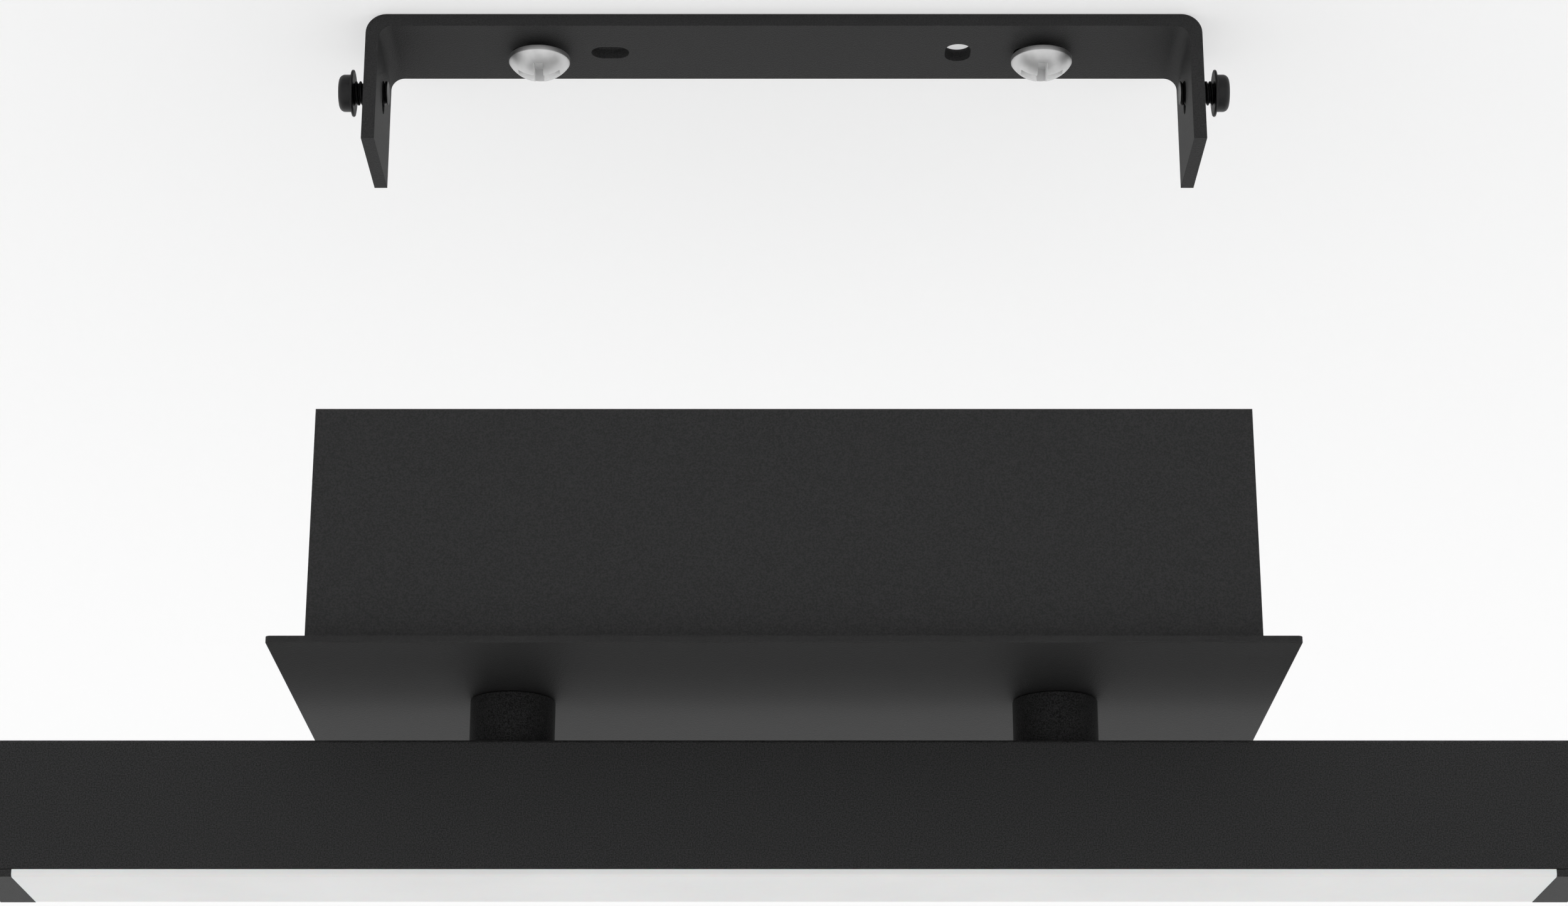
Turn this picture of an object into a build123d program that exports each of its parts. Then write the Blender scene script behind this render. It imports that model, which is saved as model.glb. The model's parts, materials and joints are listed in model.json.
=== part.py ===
"""Linear LED ceiling lamp: a ceiling bracket, and below it the lamp that is lifted onto it.

The origin is the middle of the bracket's ceiling face. +X runs along the beam, +Z is up.
The lamp is drawn off its bracket, where it hangs while it is being fitted. All sizes are millimetres.
"""

import os
from math import pi, radians, sqrt, tan

from build123d import *

# ---------------------------------------------------------------- driving dimensions
# Ceiling bracket, bent from one strip
BRACKET_CLEARANCE = 2.5
BRACKET_DEPTH = 19.5
BRACKET_SHEET = 2.1
ARM_HEIGHT = 22.0
BEND_OUTSIDE_R = 3.3
BEND_INSIDE_R = 2.15
SLOT_LENGTH = 6.2
SLOT_WIDTH = 4.2
SPARE_SLOT_X = 28.5
FIXING_SLOT_LENGTH = 7.0
FIXING_SLOT_X = 41.15
ARM_SLOT_WIDTH = 3.2
ARM_SLOT_DROP = 2.8

# Ceiling screws, driven in from below and left a little proud
CEILING_SCREW_SHIFT = 1.05
CEILING_SCREW_STANDOFF = 1.1
CEILING_HEAD_R = 5.0
CEILING_RIM = 0.85
CEILING_DOME = 2.8
CEILING_NECK_R = 1.5
CEILING_THREAD_R = 2.0
CEILING_SCREW_LENGTH = 30.0
CEILING_POINT = 3.0
THREAD_START = 0.5
RECESS_SPAN = 6.9
RECESS_WIDTH = 1.6
RECESS_DEPTH = 3.2

# Side screws that clamp the canopy to the bracket
SIDE_SCREW_Z = -9.47
SIDE_SHANK_R = 1.98
SIDE_SHANK_CHAMFER = 0.3
SIDE_FLANGE_GAP = 0.1
SIDE_FLANGE_R = 3.84
SIDE_FLANGE = 0.65
SIDE_FLANGE_EDGE = 0.45
SIDE_FLANGE_FACE = 0.35
SIDE_HEAD_R = 3.05
SIDE_HEAD = 1.85
SIDE_HEAD_ROUND = 0.95
SIDE_TIP = 0.75
SIDE_RECESS_SPAN = 3.4
SIDE_RECESS_WIDTH = 0.9
SIDE_RECESS_DEPTH = 1.3
THREAD_CLEARANCE = 0.04

# Canopy: a folded channel, two end walls and a cover plate
CANOPY_LENGTH = 140.0
CANOPY_DEPTH = 54.0
CANOPY_HEIGHT = 36.8
CANOPY_SHEET = 1.2
CANOPY_DROP = 74.5
CANOPY_FOLD_R = 0.8
CANOPY_EDGE_R = 0.8
HOOK_SLOT_WIDTH = 4.6
HOOK_SLOT_FLARE = 1.2
HOOK_SLOT_SPARE = 0.25
PLATE_OVERHANG = 5.0
PLATE_SHEET = 1.0
PLATE_CORNER_R = 0.75
PLATE_EDGE = 0.15

# Threaded tubes, nuts and washers that clamp the beam, the standoffs and the canopy together
STANDOFF_X = 41.5
STANDOFF_R = 6.5
STANDOFF_HEIGHT = 8.4
STANDOFF_CHAMFER = 0.25
TUBE_R = 5.0
TUBE_BORE_R = 3.5
TUBE_HOLE_CLEARANCE = 0.2
TUBE_NUT_FLATS = 14.0
CANOPY_NUT = 4.0
BEAM_NUT = 3.5
TUBE_SPARE = 1.2
TUBE_CHAMFER = 0.5
NUT_BEVEL = 1.3
CANOPY_WASHER_R = 8.0
BEAM_WASHER_R = 7.3
WASHER = 0.8
BUSH_FLANGE = 0.8
BUSH_WALL = 0.9
BUSH_DEPTH = 4.0

# Beam: an extruded profile, a sliding light carrier, a diffuser and two end caps
BEAM_LENGTH = 240.0
BEAM_WIDTH = 18.0
PROFILE_HEIGHT = 19.7
PROFILE_WALL = 1.4
PROFILE_ROOF = 1.6
PROFILE_EDGE_R = 0.6
BOSS_R = 1.9
BOSS_BORE_R = 1.25
BOSS_MOUTH = 1.2
BOSS_DROP = 9.2
BOSS_ROOT = 0.2
RIB_THICKNESS = 0.8
RIB_REACH = 1.2
CARRIER_DROP = 13.9
CARRIER_SHEET = 1.0
CARRIER_CLEARANCE = 0.1
CARRIER_SIDE_CLEARANCE = 0.2
BEAD_REACH = 0.4
BEAD_HEIGHT = 0.8
BEAD_RISE = 1.1
CAP_THICKNESS = 2.0
CAP_EDGE = 0.3
CAP_FOOT = 3.65
CAP_PLUG = 4.0
CAP_PLUG_WALL = 1.2
CAP_GAP = 0.1
LENS_THICKNESS = 1.2
LENS_EDGE_R = 0.45
LENS_TOP_EDGE = 0.12
LENS_END_GAP = 0.05
LENS_LEG = 3.7
LENS_LEG_WALL = 1.0
LENS_HOOK = 0.5
LENS_HOOK_HEIGHT = 0.9
LENS_LEG_CLEARANCE = 0.2
CAP_SCREW_R = 1.2
CAP_SCREW_HEAD_R = 2.4
CAP_SCREW_LENGTH = 10.0
CAP_SCREW_CLEARANCE = 0.1

# Light source
BOARD_WIDTH = 10.0
BOARD_SHEET = 1.0
BOARD_END_MARGIN = 2.0
CHIP_PITCH = 8.0
CHIP_LENGTH = 3.5
CHIP_WIDTH = 2.8
CHIP_HEIGHT = 0.7
LEAD_HOLE_SHIFT = 10.5
LEAD_HOLE_R = 2.4
SOCKET_LENGTH = 6.0
SOCKET_WIDTH = 5.6
SOCKET_HEIGHT = 2.4
SOCKET_GAP = 1.6
SOCKET_HOLE = 2.0

# Driver, lying on the canopy floor between the tubes
DRIVER_TUBE_ROOM = 3.5
DRIVER_WIDTH = 37.0
DRIVER_CASE_HEIGHT = 17.0
DRIVER_WALL = 1.6
DRIVER_LID = 2.0
DRIVER_LID_RIM = 1.2
DRIVER_LID_RIM_WALL = 1.0
DRIVER_LID_EDGE = 0.6
DRIVER_EDGE_R = 1.5
DRIVER_FIT = 0.15
EAR_SIZE = 8.0
EAR_THICKNESS = 1.8
EAR_Y = 14.0
EAR_ROOT = 0.4
BOARD_STANDING = 2.0
STANDING_SIZE = 4.0
DRIVER_BOARD_SHEET = 1.2
DRIVER_BOARD_GAP = 0.3
CORE = (14.0, 14.0, 10.0)
WINDING = (9.0, 17.0, 6.0)
CAPACITOR_R = 4.0
CAPACITOR_HEIGHT = 9.5
CAPACITOR_EDGE = 0.4
MAINS_LEAD_RISE = 9.0
LOW_LEAD_RISE = 11.0

# Mains terminal and earth
POLE_COUNT = 3
POLE_PITCH = 6.0
MIDDLE_POLE_Y = -15.0
TERMINAL_WALL_ROOM = 6.8
TERMINAL_DEPTH = 12.0
TERMINAL_END = 0.8
POLE_RISE = 5.0
TERMINAL_DECK = 7.9
TERMINAL_TOP = 11.0
RAIL_WIDTH = 4.6
RAIL_X = 3.0
RAIL_BORE_R = 1.6
TERMINAL_EAR = 8.0
TERMINAL_EAR_INSET = 1.0
TERMINAL_EAR_HEIGHT = 4.0
CAGE_SIZE = 4.0
CAGE_OPENING = 2.6
CAGE_LENGTH = 10.0
CAGE_CLEARANCE = 0.05
TERMINAL_SCREW_R = 1.25
TERMINAL_SCREW_CLEARANCE = 0.1
TERMINAL_SCREW_SUNK = 1.5
LUG_R = 4.0
LUG_SHEET = 0.8
LUG_BARREL_R = 1.5
LUG_BARREL = 4.0
LUG_CRIMP = 0.05

# Small fasteners on the canopy floor: stud radius, stud height, nut across flats, nut height
SMALL_STUD = (1.5, 7.0, 5.5, 2.4)
EARTH_STUD = (2.0, 7.0, 7.0, 3.2)
STUD_CLEARANCE = 0.15

# Leads
MAINS_LEAD_R = 0.9
LOW_LEAD_R = 0.65
LOW_LEAD_Y = 1.2
LEAD_GRIP = 0.05
LEAD_IN_CAGE = 2.0
LEAD_IN_DRIVER = 1.0
LEAD_IN_SOCKET_GAP = 0.2
MAINS_LEAD_STRAIGHT = 4.0
TURN_DROP = 3.0
LEAD_HOLE_CLEARANCE = 0.2
LEAD_BEND_R = 4.0
RUN_SHARE = 0.45

# ---------------------------------------------------------------- levels and places
CANOPY_TOP = -CANOPY_DROP
CANOPY_BOTTOM = CANOPY_TOP - CANOPY_HEIGHT
FLOOR = CANOPY_BOTTOM + CANOPY_SHEET
PLATE_BOTTOM = CANOPY_BOTTOM - PLATE_SHEET
BEAM_TOP = PLATE_BOTTOM - STANDOFF_HEIGHT
PROFILE_BOTTOM = BEAM_TOP - PROFILE_HEIGHT
LENS_BOTTOM = PROFILE_BOTTOM - LENS_THICKNESS
CARRIER_TOP = BEAM_TOP - CARRIER_DROP
BOARD_TOP = CARRIER_TOP - CARRIER_SHEET
BOARD_BOTTOM = BOARD_TOP - BOARD_SHEET
TUBE_TOP = FLOOR + WASHER + CANOPY_NUT + TUBE_SPARE
TUBE_BOTTOM = BEAM_TOP - PROFILE_ROOF - WASHER - BEAM_NUT - TUBE_SPARE
HEAD_SEAT = -BRACKET_SHEET - CEILING_SCREW_STANDOFF
BRACKET_WIDTH = CANOPY_LENGTH - 2 * BRACKET_CLEARANCE
ARM_OUTSIDE = BRACKET_WIDTH / 2
ARM_INSIDE = ARM_OUTSIDE - BRACKET_SHEET
FLANGE_SEAT = CANOPY_LENGTH / 2 + SIDE_FLANGE_GAP
PROFILE_LENGTH = BEAM_LENGTH - 2 * CAP_THICKNESS
CAP_FOOT_END = PROFILE_LENGTH / 2 - CAP_FOOT
LENS_LENGTH = 2 * (CAP_FOOT_END - LENS_END_GAP)
PROFILE_INSIDE = BEAM_WIDTH / 2 - PROFILE_WALL
BOSS_Y = PROFILE_INSIDE - BOSS_R + BOSS_ROOT
CARRIER_LENGTH = PROFILE_LENGTH - 2 * CAP_PLUG - 2 * CAP_GAP
BOARD_LENGTH = CARRIER_LENGTH - 2 * BOARD_END_MARGIN
LEAD_HOLE_X = STANDOFF_X + LEAD_HOLE_SHIFT
TUBE_HOLE_R = TUBE_R + TUBE_HOLE_CLEARANCE
DRIVER_LENGTH = 2 * (STANDOFF_X - CANOPY_WASHER_R - DRIVER_TUBE_ROOM)
DRIVER_TOP = FLOOR + DRIVER_CASE_HEIGHT
DRIVER_BOARD_LEVEL = FLOOR + DRIVER_WALL + BOARD_STANDING
TERMINAL_X = -CANOPY_LENGTH / 2 + CANOPY_SHEET + TERMINAL_WALL_ROOM + TERMINAL_DEPTH / 2
POLE_Z = FLOOR + POLE_RISE
POLE_Y = [MIDDLE_POLE_Y + (pole - (POLE_COUNT - 1) / 2) * POLE_PITCH for pole in range(POLE_COUNT)]
EARTH_X = -DRIVER_LENGTH / 2 - LUG_R
EARTH_Y = POLE_Y[0]
SIDES = {"left": -1, "right": 1}


def keep(node, part):
    """Label a finished piece and write it to its own STEP file."""
    part.label = node
    export_step(part, f"parts/{node}.step")


def bend_radii(points):
    """The bend at each corner of a lead: nearly half of the shorter run beside it, up to a limit."""
    radii = []
    for before, corner, after in zip(points, points[1:], points[2:]):
        run_in = Vector(*corner) - Vector(*before)
        run_out = Vector(*after) - Vector(*corner)
        half_turn = radians(run_in.get_angle(run_out)) / 2
        room = RUN_SHARE * min(run_in.length, run_out.length) / tan(half_turn)
        radii.append(min(room, LEAD_BEND_R))
    return radii


os.makedirs("parts", exist_ok=True)

# ---------------------------------------------------------------- ceiling bracket and its screws
with BuildPart() as ceiling_bracket:
    with BuildSketch(Plane.XZ):
        with Locations((0, -ARM_HEIGHT / 2)):
            Rectangle(BRACKET_WIDTH, ARM_HEIGHT)
        with Locations((0, -BRACKET_SHEET - ARM_HEIGHT / 2)):
            Rectangle(2 * ARM_INSIDE, ARM_HEIGHT, mode=Mode.SUBTRACT)
    extrude(amount=BRACKET_DEPTH / 2, both=True)
    bends = ceiling_bracket.edges().filter_by(Axis.Y)
    fillet(bends.group_by(Axis.Z)[-1], radius=BEND_OUTSIDE_R)
    inside_bends = ceiling_bracket.edges().filter_by(Axis.Y).filter_by_position(
        Axis.Z, -BRACKET_SHEET - 0.01, -BRACKET_SHEET + 0.01
    )
    fillet(inside_bends, radius=BEND_INSIDE_R)
    with BuildSketch(Plane.XY):
        with Locations((-SPARE_SLOT_X, 0)):
            SlotOverall(SLOT_LENGTH, SLOT_WIDTH)
        with Locations((SPARE_SLOT_X, 0)):
            SlotOverall(SLOT_LENGTH, SLOT_WIDTH, rotation=90)
        with Locations((-FIXING_SLOT_X, 0), (FIXING_SLOT_X, 0)):
            SlotOverall(FIXING_SLOT_LENGTH, SLOT_WIDTH)
    extrude(amount=-BRACKET_SHEET, mode=Mode.SUBTRACT)
    # Each arm has a tapped hole that opens into a short slot below it
    with BuildSketch(Plane.YZ):
        with Locations((0, SIDE_SCREW_Z)):
            Circle(SIDE_SHANK_R + THREAD_CLEARANCE)
        with Locations((0, SIDE_SCREW_Z - ARM_SLOT_DROP / 2)):
            SlotOverall(ARM_SLOT_DROP + ARM_SLOT_WIDTH / 2, ARM_SLOT_WIDTH, rotation=90)
    extrude(amount=BRACKET_WIDTH, both=True, mode=Mode.SUBTRACT)
keep("ceiling_bracket", ceiling_bracket.part)

for side, sign in SIDES.items():
    screw_x = sign * FIXING_SLOT_X + CEILING_SCREW_SHIFT
    screw_top = HEAD_SEAT + CEILING_SCREW_LENGTH
    rim_bottom = HEAD_SEAT - CEILING_RIM
    with BuildPart() as ceiling_screw:
        with BuildSketch(Plane(origin=(screw_x, 0, 0), x_dir=(1, 0, 0), z_dir=(0, -1, 0))):
            with BuildLine():
                Polyline(
                    (0, rim_bottom - CEILING_DOME),
                    (0, screw_top),
                    (CEILING_THREAD_R, screw_top - CEILING_POINT),
                    (CEILING_THREAD_R, THREAD_START),
                    (CEILING_NECK_R, THREAD_START),
                    (CEILING_NECK_R, HEAD_SEAT),
                    (CEILING_HEAD_R, HEAD_SEAT),
                    (CEILING_HEAD_R, rim_bottom),
                )
                dome_r = (CEILING_HEAD_R**2 + CEILING_DOME**2) / (2 * CEILING_DOME)
                RadiusArc((CEILING_HEAD_R, rim_bottom), (0, rim_bottom - CEILING_DOME), dome_r)
            make_face()
        revolve(axis=Axis((screw_x, 0, 0), (0, 0, 1)))
        with BuildSketch(Plane.XY.offset(rim_bottom - CEILING_DOME)):
            with Locations((screw_x, 0)):
                Rectangle(RECESS_SPAN, RECESS_WIDTH)
                Rectangle(RECESS_WIDTH, RECESS_SPAN)
        extrude(amount=RECESS_DEPTH, mode=Mode.SUBTRACT)
    keep(f"ceiling_screw_{side}", ceiling_screw.part)

for side, sign in SIDES.items():
    outward = Plane(origin=(0, 0, SIDE_SCREW_Z), x_dir=(sign, 0, 0), z_dir=(0, -sign, 0))
    flange_draft = (SIDE_FLANGE - SIDE_FLANGE_EDGE) / 2
    head_start = FLANGE_SEAT + SIDE_FLANGE
    head_end = head_start + SIDE_HEAD
    with BuildPart() as side_screw:
        with BuildSketch(outward):
            with BuildLine():
                Polyline(
                    (head_end, 0),
                    (ARM_INSIDE - SIDE_TIP, 0),
                    (ARM_INSIDE - SIDE_TIP, SIDE_SHANK_R - SIDE_SHANK_CHAMFER),
                    (ARM_INSIDE - SIDE_TIP + SIDE_SHANK_CHAMFER, SIDE_SHANK_R),
                    (FLANGE_SEAT, SIDE_SHANK_R),
                    (FLANGE_SEAT, SIDE_FLANGE_R - SIDE_FLANGE_FACE),
                    (FLANGE_SEAT + flange_draft, SIDE_FLANGE_R),
                    (head_start - flange_draft, SIDE_FLANGE_R),
                    (head_start, SIDE_HEAD_R),
                    (head_end - SIDE_HEAD_ROUND, SIDE_HEAD_R),
                )
                CenterArc(
                    (head_end - SIDE_HEAD_ROUND, SIDE_HEAD_R - SIDE_HEAD_ROUND),
                    SIDE_HEAD_ROUND,
                    0,
                    90,
                )
                Line((head_end, SIDE_HEAD_R - SIDE_HEAD_ROUND), (head_end, 0))
            make_face()
        revolve(axis=Axis((0, 0, SIDE_SCREW_Z), (1, 0, 0)))
        end_face = Plane(
            origin=(sign * head_end, 0, SIDE_SCREW_Z), x_dir=(0, 1, 0), z_dir=(-sign, 0, 0)
        )
        with BuildSketch(end_face):
            Rectangle(SIDE_RECESS_SPAN, SIDE_RECESS_WIDTH)
            Rectangle(SIDE_RECESS_WIDTH, SIDE_RECESS_SPAN)
        extrude(amount=SIDE_RECESS_DEPTH, mode=Mode.SUBTRACT)
    keep(f"side_screw_{side}", side_screw.part)

# ---------------------------------------------------------------- canopy
with BuildPart() as canopy_channel:
    with BuildSketch(Plane.YZ):
        with Locations((0, CANOPY_BOTTOM + CANOPY_HEIGHT / 2)):
            Rectangle(CANOPY_DEPTH, CANOPY_HEIGHT)
        with Locations((0, FLOOR + CANOPY_HEIGHT / 2)):
            Rectangle(CANOPY_DEPTH - 2 * CANOPY_SHEET, CANOPY_HEIGHT, mode=Mode.SUBTRACT)
    extrude(amount=CANOPY_LENGTH / 2, both=True)
    inside_folds = canopy_channel.edges().filter_by(Axis.X).filter_by_position(
        Axis.Z, FLOOR - 0.01, FLOOR + 0.01
    )
    fillet(inside_folds, radius=CANOPY_FOLD_R)
    outside_folds = canopy_channel.edges().filter_by(Axis.X).group_by(Axis.Z)[0]
    fillet(outside_folds, radius=CANOPY_EDGE_R)
    with BuildSketch(Plane.XY.offset(CANOPY_BOTTOM)):
        with Locations((-STANDOFF_X, 0), (STANDOFF_X, 0)):
            Circle(TUBE_HOLE_R)
    extrude(amount=CANOPY_SHEET, mode=Mode.SUBTRACT)
keep("canopy_channel", canopy_channel.part)

hook_slot_end = CANOPY_TOP + SIDE_SCREW_Z - HOOK_SLOT_SPARE
for side, sign in SIDES.items():
    wall_middle = sign * (CANOPY_LENGTH - CANOPY_SHEET) / 2
    with BuildPart() as canopy_end:
        with BuildSketch(Plane.YZ.offset(wall_middle)):
            with Locations((0, (CANOPY_TOP + FLOOR) / 2)):
                Rectangle(CANOPY_DEPTH - 2 * CANOPY_SHEET, CANOPY_TOP - FLOOR)
            # The slot drops over the side screw from above, and its mouth is flared
            with Locations((0, hook_slot_end)):
                Circle(HOOK_SLOT_WIDTH / 2, mode=Mode.SUBTRACT)
            with Locations((0, (CANOPY_TOP + hook_slot_end) / 2)):
                Rectangle(HOOK_SLOT_WIDTH, CANOPY_TOP - hook_slot_end, mode=Mode.SUBTRACT)
            with BuildLine():
                Polyline(
                    (-HOOK_SLOT_WIDTH / 2, CANOPY_TOP - HOOK_SLOT_FLARE),
                    (HOOK_SLOT_WIDTH / 2, CANOPY_TOP - HOOK_SLOT_FLARE),
                    (HOOK_SLOT_WIDTH / 2 + HOOK_SLOT_FLARE, CANOPY_TOP),
                    (-HOOK_SLOT_WIDTH / 2 - HOOK_SLOT_FLARE, CANOPY_TOP),
                    close=True,
                )
            make_face(mode=Mode.SUBTRACT)
        extrude(amount=CANOPY_SHEET / 2, both=True)
        # The lower corners clear the folds of the channel
        fold_edges = canopy_end.edges().filter_by(Axis.X).group_by(Axis.Z)[0]
        chamfer(fold_edges, length=CANOPY_FOLD_R)
    keep(f"canopy_end_{side}", canopy_end.part)

with BuildPart() as cover_plate:
    with BuildSketch(Plane.XY.offset(PLATE_BOTTOM)):
        RectangleRounded(
            CANOPY_LENGTH + 2 * PLATE_OVERHANG, CANOPY_DEPTH + 2 * PLATE_OVERHANG, PLATE_CORNER_R
        )
        with Locations((-STANDOFF_X, 0), (STANDOFF_X, 0)):
            Circle(TUBE_HOLE_R, mode=Mode.SUBTRACT)
    extrude(amount=PLATE_SHEET)
    chamfer(cover_plate.faces().sort_by(Axis.Z)[0].outer_wire().edges(), length=PLATE_EDGE)
keep("cover_plate", cover_plate.part)

# ---------------------------------------------------------------- standoffs and threaded tubes
for side, sign in SIDES.items():
    with BuildPart() as standoff:
        with BuildSketch(Plane.XY.offset(BEAM_TOP)):
            with Locations((sign * STANDOFF_X, 0)):
                Circle(STANDOFF_R)
                Circle(TUBE_HOLE_R, mode=Mode.SUBTRACT)
        extrude(amount=STANDOFF_HEIGHT)
        outside_top = standoff.edges().group_by(Axis.Z)[-1].sort_by(SortBy.RADIUS)[-1]
        chamfer(outside_top, length=STANDOFF_CHAMFER)
    keep(f"standoff_{side}", standoff.part)

    with BuildPart() as threaded_tube:
        with BuildSketch(Plane.XY.offset(TUBE_BOTTOM)):
            with Locations((sign * STANDOFF_X, 0)):
                Circle(TUBE_R)
                Circle(TUBE_BORE_R, mode=Mode.SUBTRACT)
        extrude(amount=TUBE_TOP - TUBE_BOTTOM)
        rims = threaded_tube.edges().group_by(Axis.Z)
        chamfer([rims[end].sort_by(SortBy.RADIUS)[-1] for end in (0, -1)], length=TUBE_CHAMFER)
    keep(f"threaded_tube_{side}", threaded_tube.part)


def washer(level, outside_r, inside_r, thickness, places):
    """Flat washers standing on a level, as one group."""
    with BuildPart() as washers:
        with BuildSketch(Plane.XY.offset(level)):
            with Locations(*places):
                Circle(outside_r)
                Circle(inside_r, mode=Mode.SUBTRACT)
        extrude(amount=thickness)
    return washers.part


def nut(level, flats, bore_r, height, places, turn=0):
    """Hexagon nuts standing on a level, their upper corners turned off by a cone."""
    corner_r = flats / sqrt(3)
    bevel = NUT_BEVEL * (corner_r - flats / 2) / 2
    with BuildPart() as nuts:
        with BuildSketch(Plane.XY.offset(level)):
            with Locations(*places):
                RegularPolygon(flats / 2, 6, major_radius=False, rotation=turn)
                Circle(bore_r, mode=Mode.SUBTRACT)
        extrude(amount=height)
        for x, y in places:
            with BuildSketch(Plane(origin=(x, y, 0), x_dir=(1, 0, 0), z_dir=(0, -1, 0))):
                with BuildLine():
                    Polyline(
                        (2 * corner_r - flats / 2, level + height),
                        (flats / 2, level + height),
                        (2 * corner_r - flats / 2, level + height - 2 * bevel),
                        close=True,
                    )
                make_face()
            revolve(axis=Axis((x, y, 0), (0, 0, 1)), mode=Mode.SUBTRACT)
    return nuts.part


tube_places = [(-STANDOFF_X, 0), (STANDOFF_X, 0)]
beam_washer_level = BEAM_TOP - PROFILE_ROOF - WASHER
keep("canopy_washers", washer(FLOOR, CANOPY_WASHER_R, TUBE_HOLE_R, WASHER, tube_places))
keep(
    "canopy_nuts",
    nut(FLOOR + WASHER, TUBE_NUT_FLATS, TUBE_R + THREAD_CLEARANCE, CANOPY_NUT, tube_places, 30),
)
keep("beam_washers", washer(beam_washer_level, BEAM_WASHER_R, TUBE_HOLE_R, WASHER, tube_places))
keep(
    "beam_nuts",
    nut(
        beam_washer_level - BEAM_NUT,
        TUBE_NUT_FLATS,
        TUBE_R + THREAD_CLEARANCE,
        BEAM_NUT,
        tube_places,
    ),
)

with BuildPart() as lead_bush:
    with BuildSketch(Plane.XY.offset(TUBE_TOP)):
        with Locations((STANDOFF_X, 0)):
            Circle(TUBE_R)
            Circle(TUBE_BORE_R - BUSH_WALL, mode=Mode.SUBTRACT)
    extrude(amount=BUSH_FLANGE)
    chamfer(lead_bush.edges().group_by(Axis.Z)[-1], length=BUSH_FLANGE / 3)
    with BuildSketch(Plane.XY.offset(TUBE_TOP)):
        with Locations((STANDOFF_X, 0)):
            Circle(TUBE_BORE_R - THREAD_CLEARANCE)
            Circle(TUBE_BORE_R - BUSH_WALL, mode=Mode.SUBTRACT)
    extrude(amount=-BUSH_DEPTH)
keep("lead_bush", lead_bush.part)

# ---------------------------------------------------------------- beam
with BuildPart() as beam_profile:
    with BuildSketch(Plane.YZ):
        with Locations((0, BEAM_TOP - PROFILE_HEIGHT / 2)):
            Rectangle(BEAM_WIDTH, PROFILE_HEIGHT)
        with Locations((0, BEAM_TOP - PROFILE_ROOF - PROFILE_HEIGHT / 2)):
            Rectangle(2 * PROFILE_INSIDE, PROFILE_HEIGHT, mode=Mode.SUBTRACT)
        for y_sign in (-1, 1):
            # Screw boss for the end caps, open towards the middle
            with Locations((y_sign * BOSS_Y, BEAM_TOP - BOSS_DROP)):
                Circle(BOSS_R)
                Circle(BOSS_BORE_R, mode=Mode.SUBTRACT)
            with Locations((y_sign * (BOSS_Y - BOSS_R), BEAM_TOP - BOSS_DROP)):
                Rectangle(2 * BOSS_R - BOSS_BORE_R, BOSS_MOUTH, mode=Mode.SUBTRACT)
            # Two ribs that the light carrier slides between
            rib_y = y_sign * (PROFILE_INSIDE - RIB_REACH / 2)
            upper_rib = CARRIER_TOP + CARRIER_CLEARANCE + RIB_THICKNESS / 2
            lower_rib = BOARD_TOP - CARRIER_CLEARANCE - RIB_THICKNESS / 2
            with Locations((rib_y, upper_rib), (rib_y, lower_rib)):
                Rectangle(RIB_REACH, RIB_THICKNESS)
            # The bead that the diffuser's hooks snap over
            bead_y = y_sign * (PROFILE_INSIDE - BEAD_REACH / 2)
            with Locations((bead_y, PROFILE_BOTTOM + BEAD_RISE + BEAD_HEIGHT / 2)):
                Rectangle(BEAD_REACH, BEAD_HEIGHT)
    extrude(amount=PROFILE_LENGTH / 2, both=True)
    fillet(beam_profile.edges().filter_by(Axis.X).group_by(Axis.Z)[-1], radius=PROFILE_EDGE_R)
    with BuildSketch(Plane.XY.offset(BEAM_TOP)):
        with Locations(*tube_places):
            Circle(TUBE_HOLE_R)
    extrude(amount=-PROFILE_ROOF, mode=Mode.SUBTRACT)
keep("beam_profile", beam_profile.part)

with BuildPart() as light_carrier:
    with BuildSketch(Plane.XY.offset(BOARD_TOP)):
        Rectangle(CARRIER_LENGTH, 2 * (PROFILE_INSIDE - CARRIER_SIDE_CLEARANCE))
        with Locations((LEAD_HOLE_X, 0)):
            Circle(LEAD_HOLE_R, mode=Mode.SUBTRACT)
    extrude(amount=CARRIER_SHEET)
keep("light_carrier", light_carrier.part)

with BuildPart() as light_board:
    with BuildSketch(Plane.XY.offset(BOARD_BOTTOM)):
        Rectangle(BOARD_LENGTH, BOARD_WIDTH)
        with Locations((LEAD_HOLE_X, 0)):
            Circle(LEAD_HOLE_R, mode=Mode.SUBTRACT)
    extrude(amount=BOARD_SHEET)
keep("light_board", light_board.part)

socket_start = LEAD_HOLE_X + LEAD_HOLE_R + SOCKET_GAP
chip_count = int(BOARD_LENGTH // CHIP_PITCH)
chip_places = []
for count in range(chip_count):
    chip_x = (count - (chip_count - 1) / 2) * CHIP_PITCH
    clear_of_hole = chip_x + CHIP_LENGTH / 2 < LEAD_HOLE_X - LEAD_HOLE_R
    clear_of_socket = chip_x - CHIP_LENGTH / 2 > socket_start + SOCKET_LENGTH
    if clear_of_hole or clear_of_socket:
        chip_places.append((chip_x, 0))
with BuildPart() as light_chips:
    with BuildSketch(Plane.XY.offset(BOARD_BOTTOM - CHIP_HEIGHT)):
        with Locations(*chip_places):
            Rectangle(CHIP_LENGTH, CHIP_WIDTH)
    extrude(amount=CHIP_HEIGHT)
keep("light_chips", light_chips.part)

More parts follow.
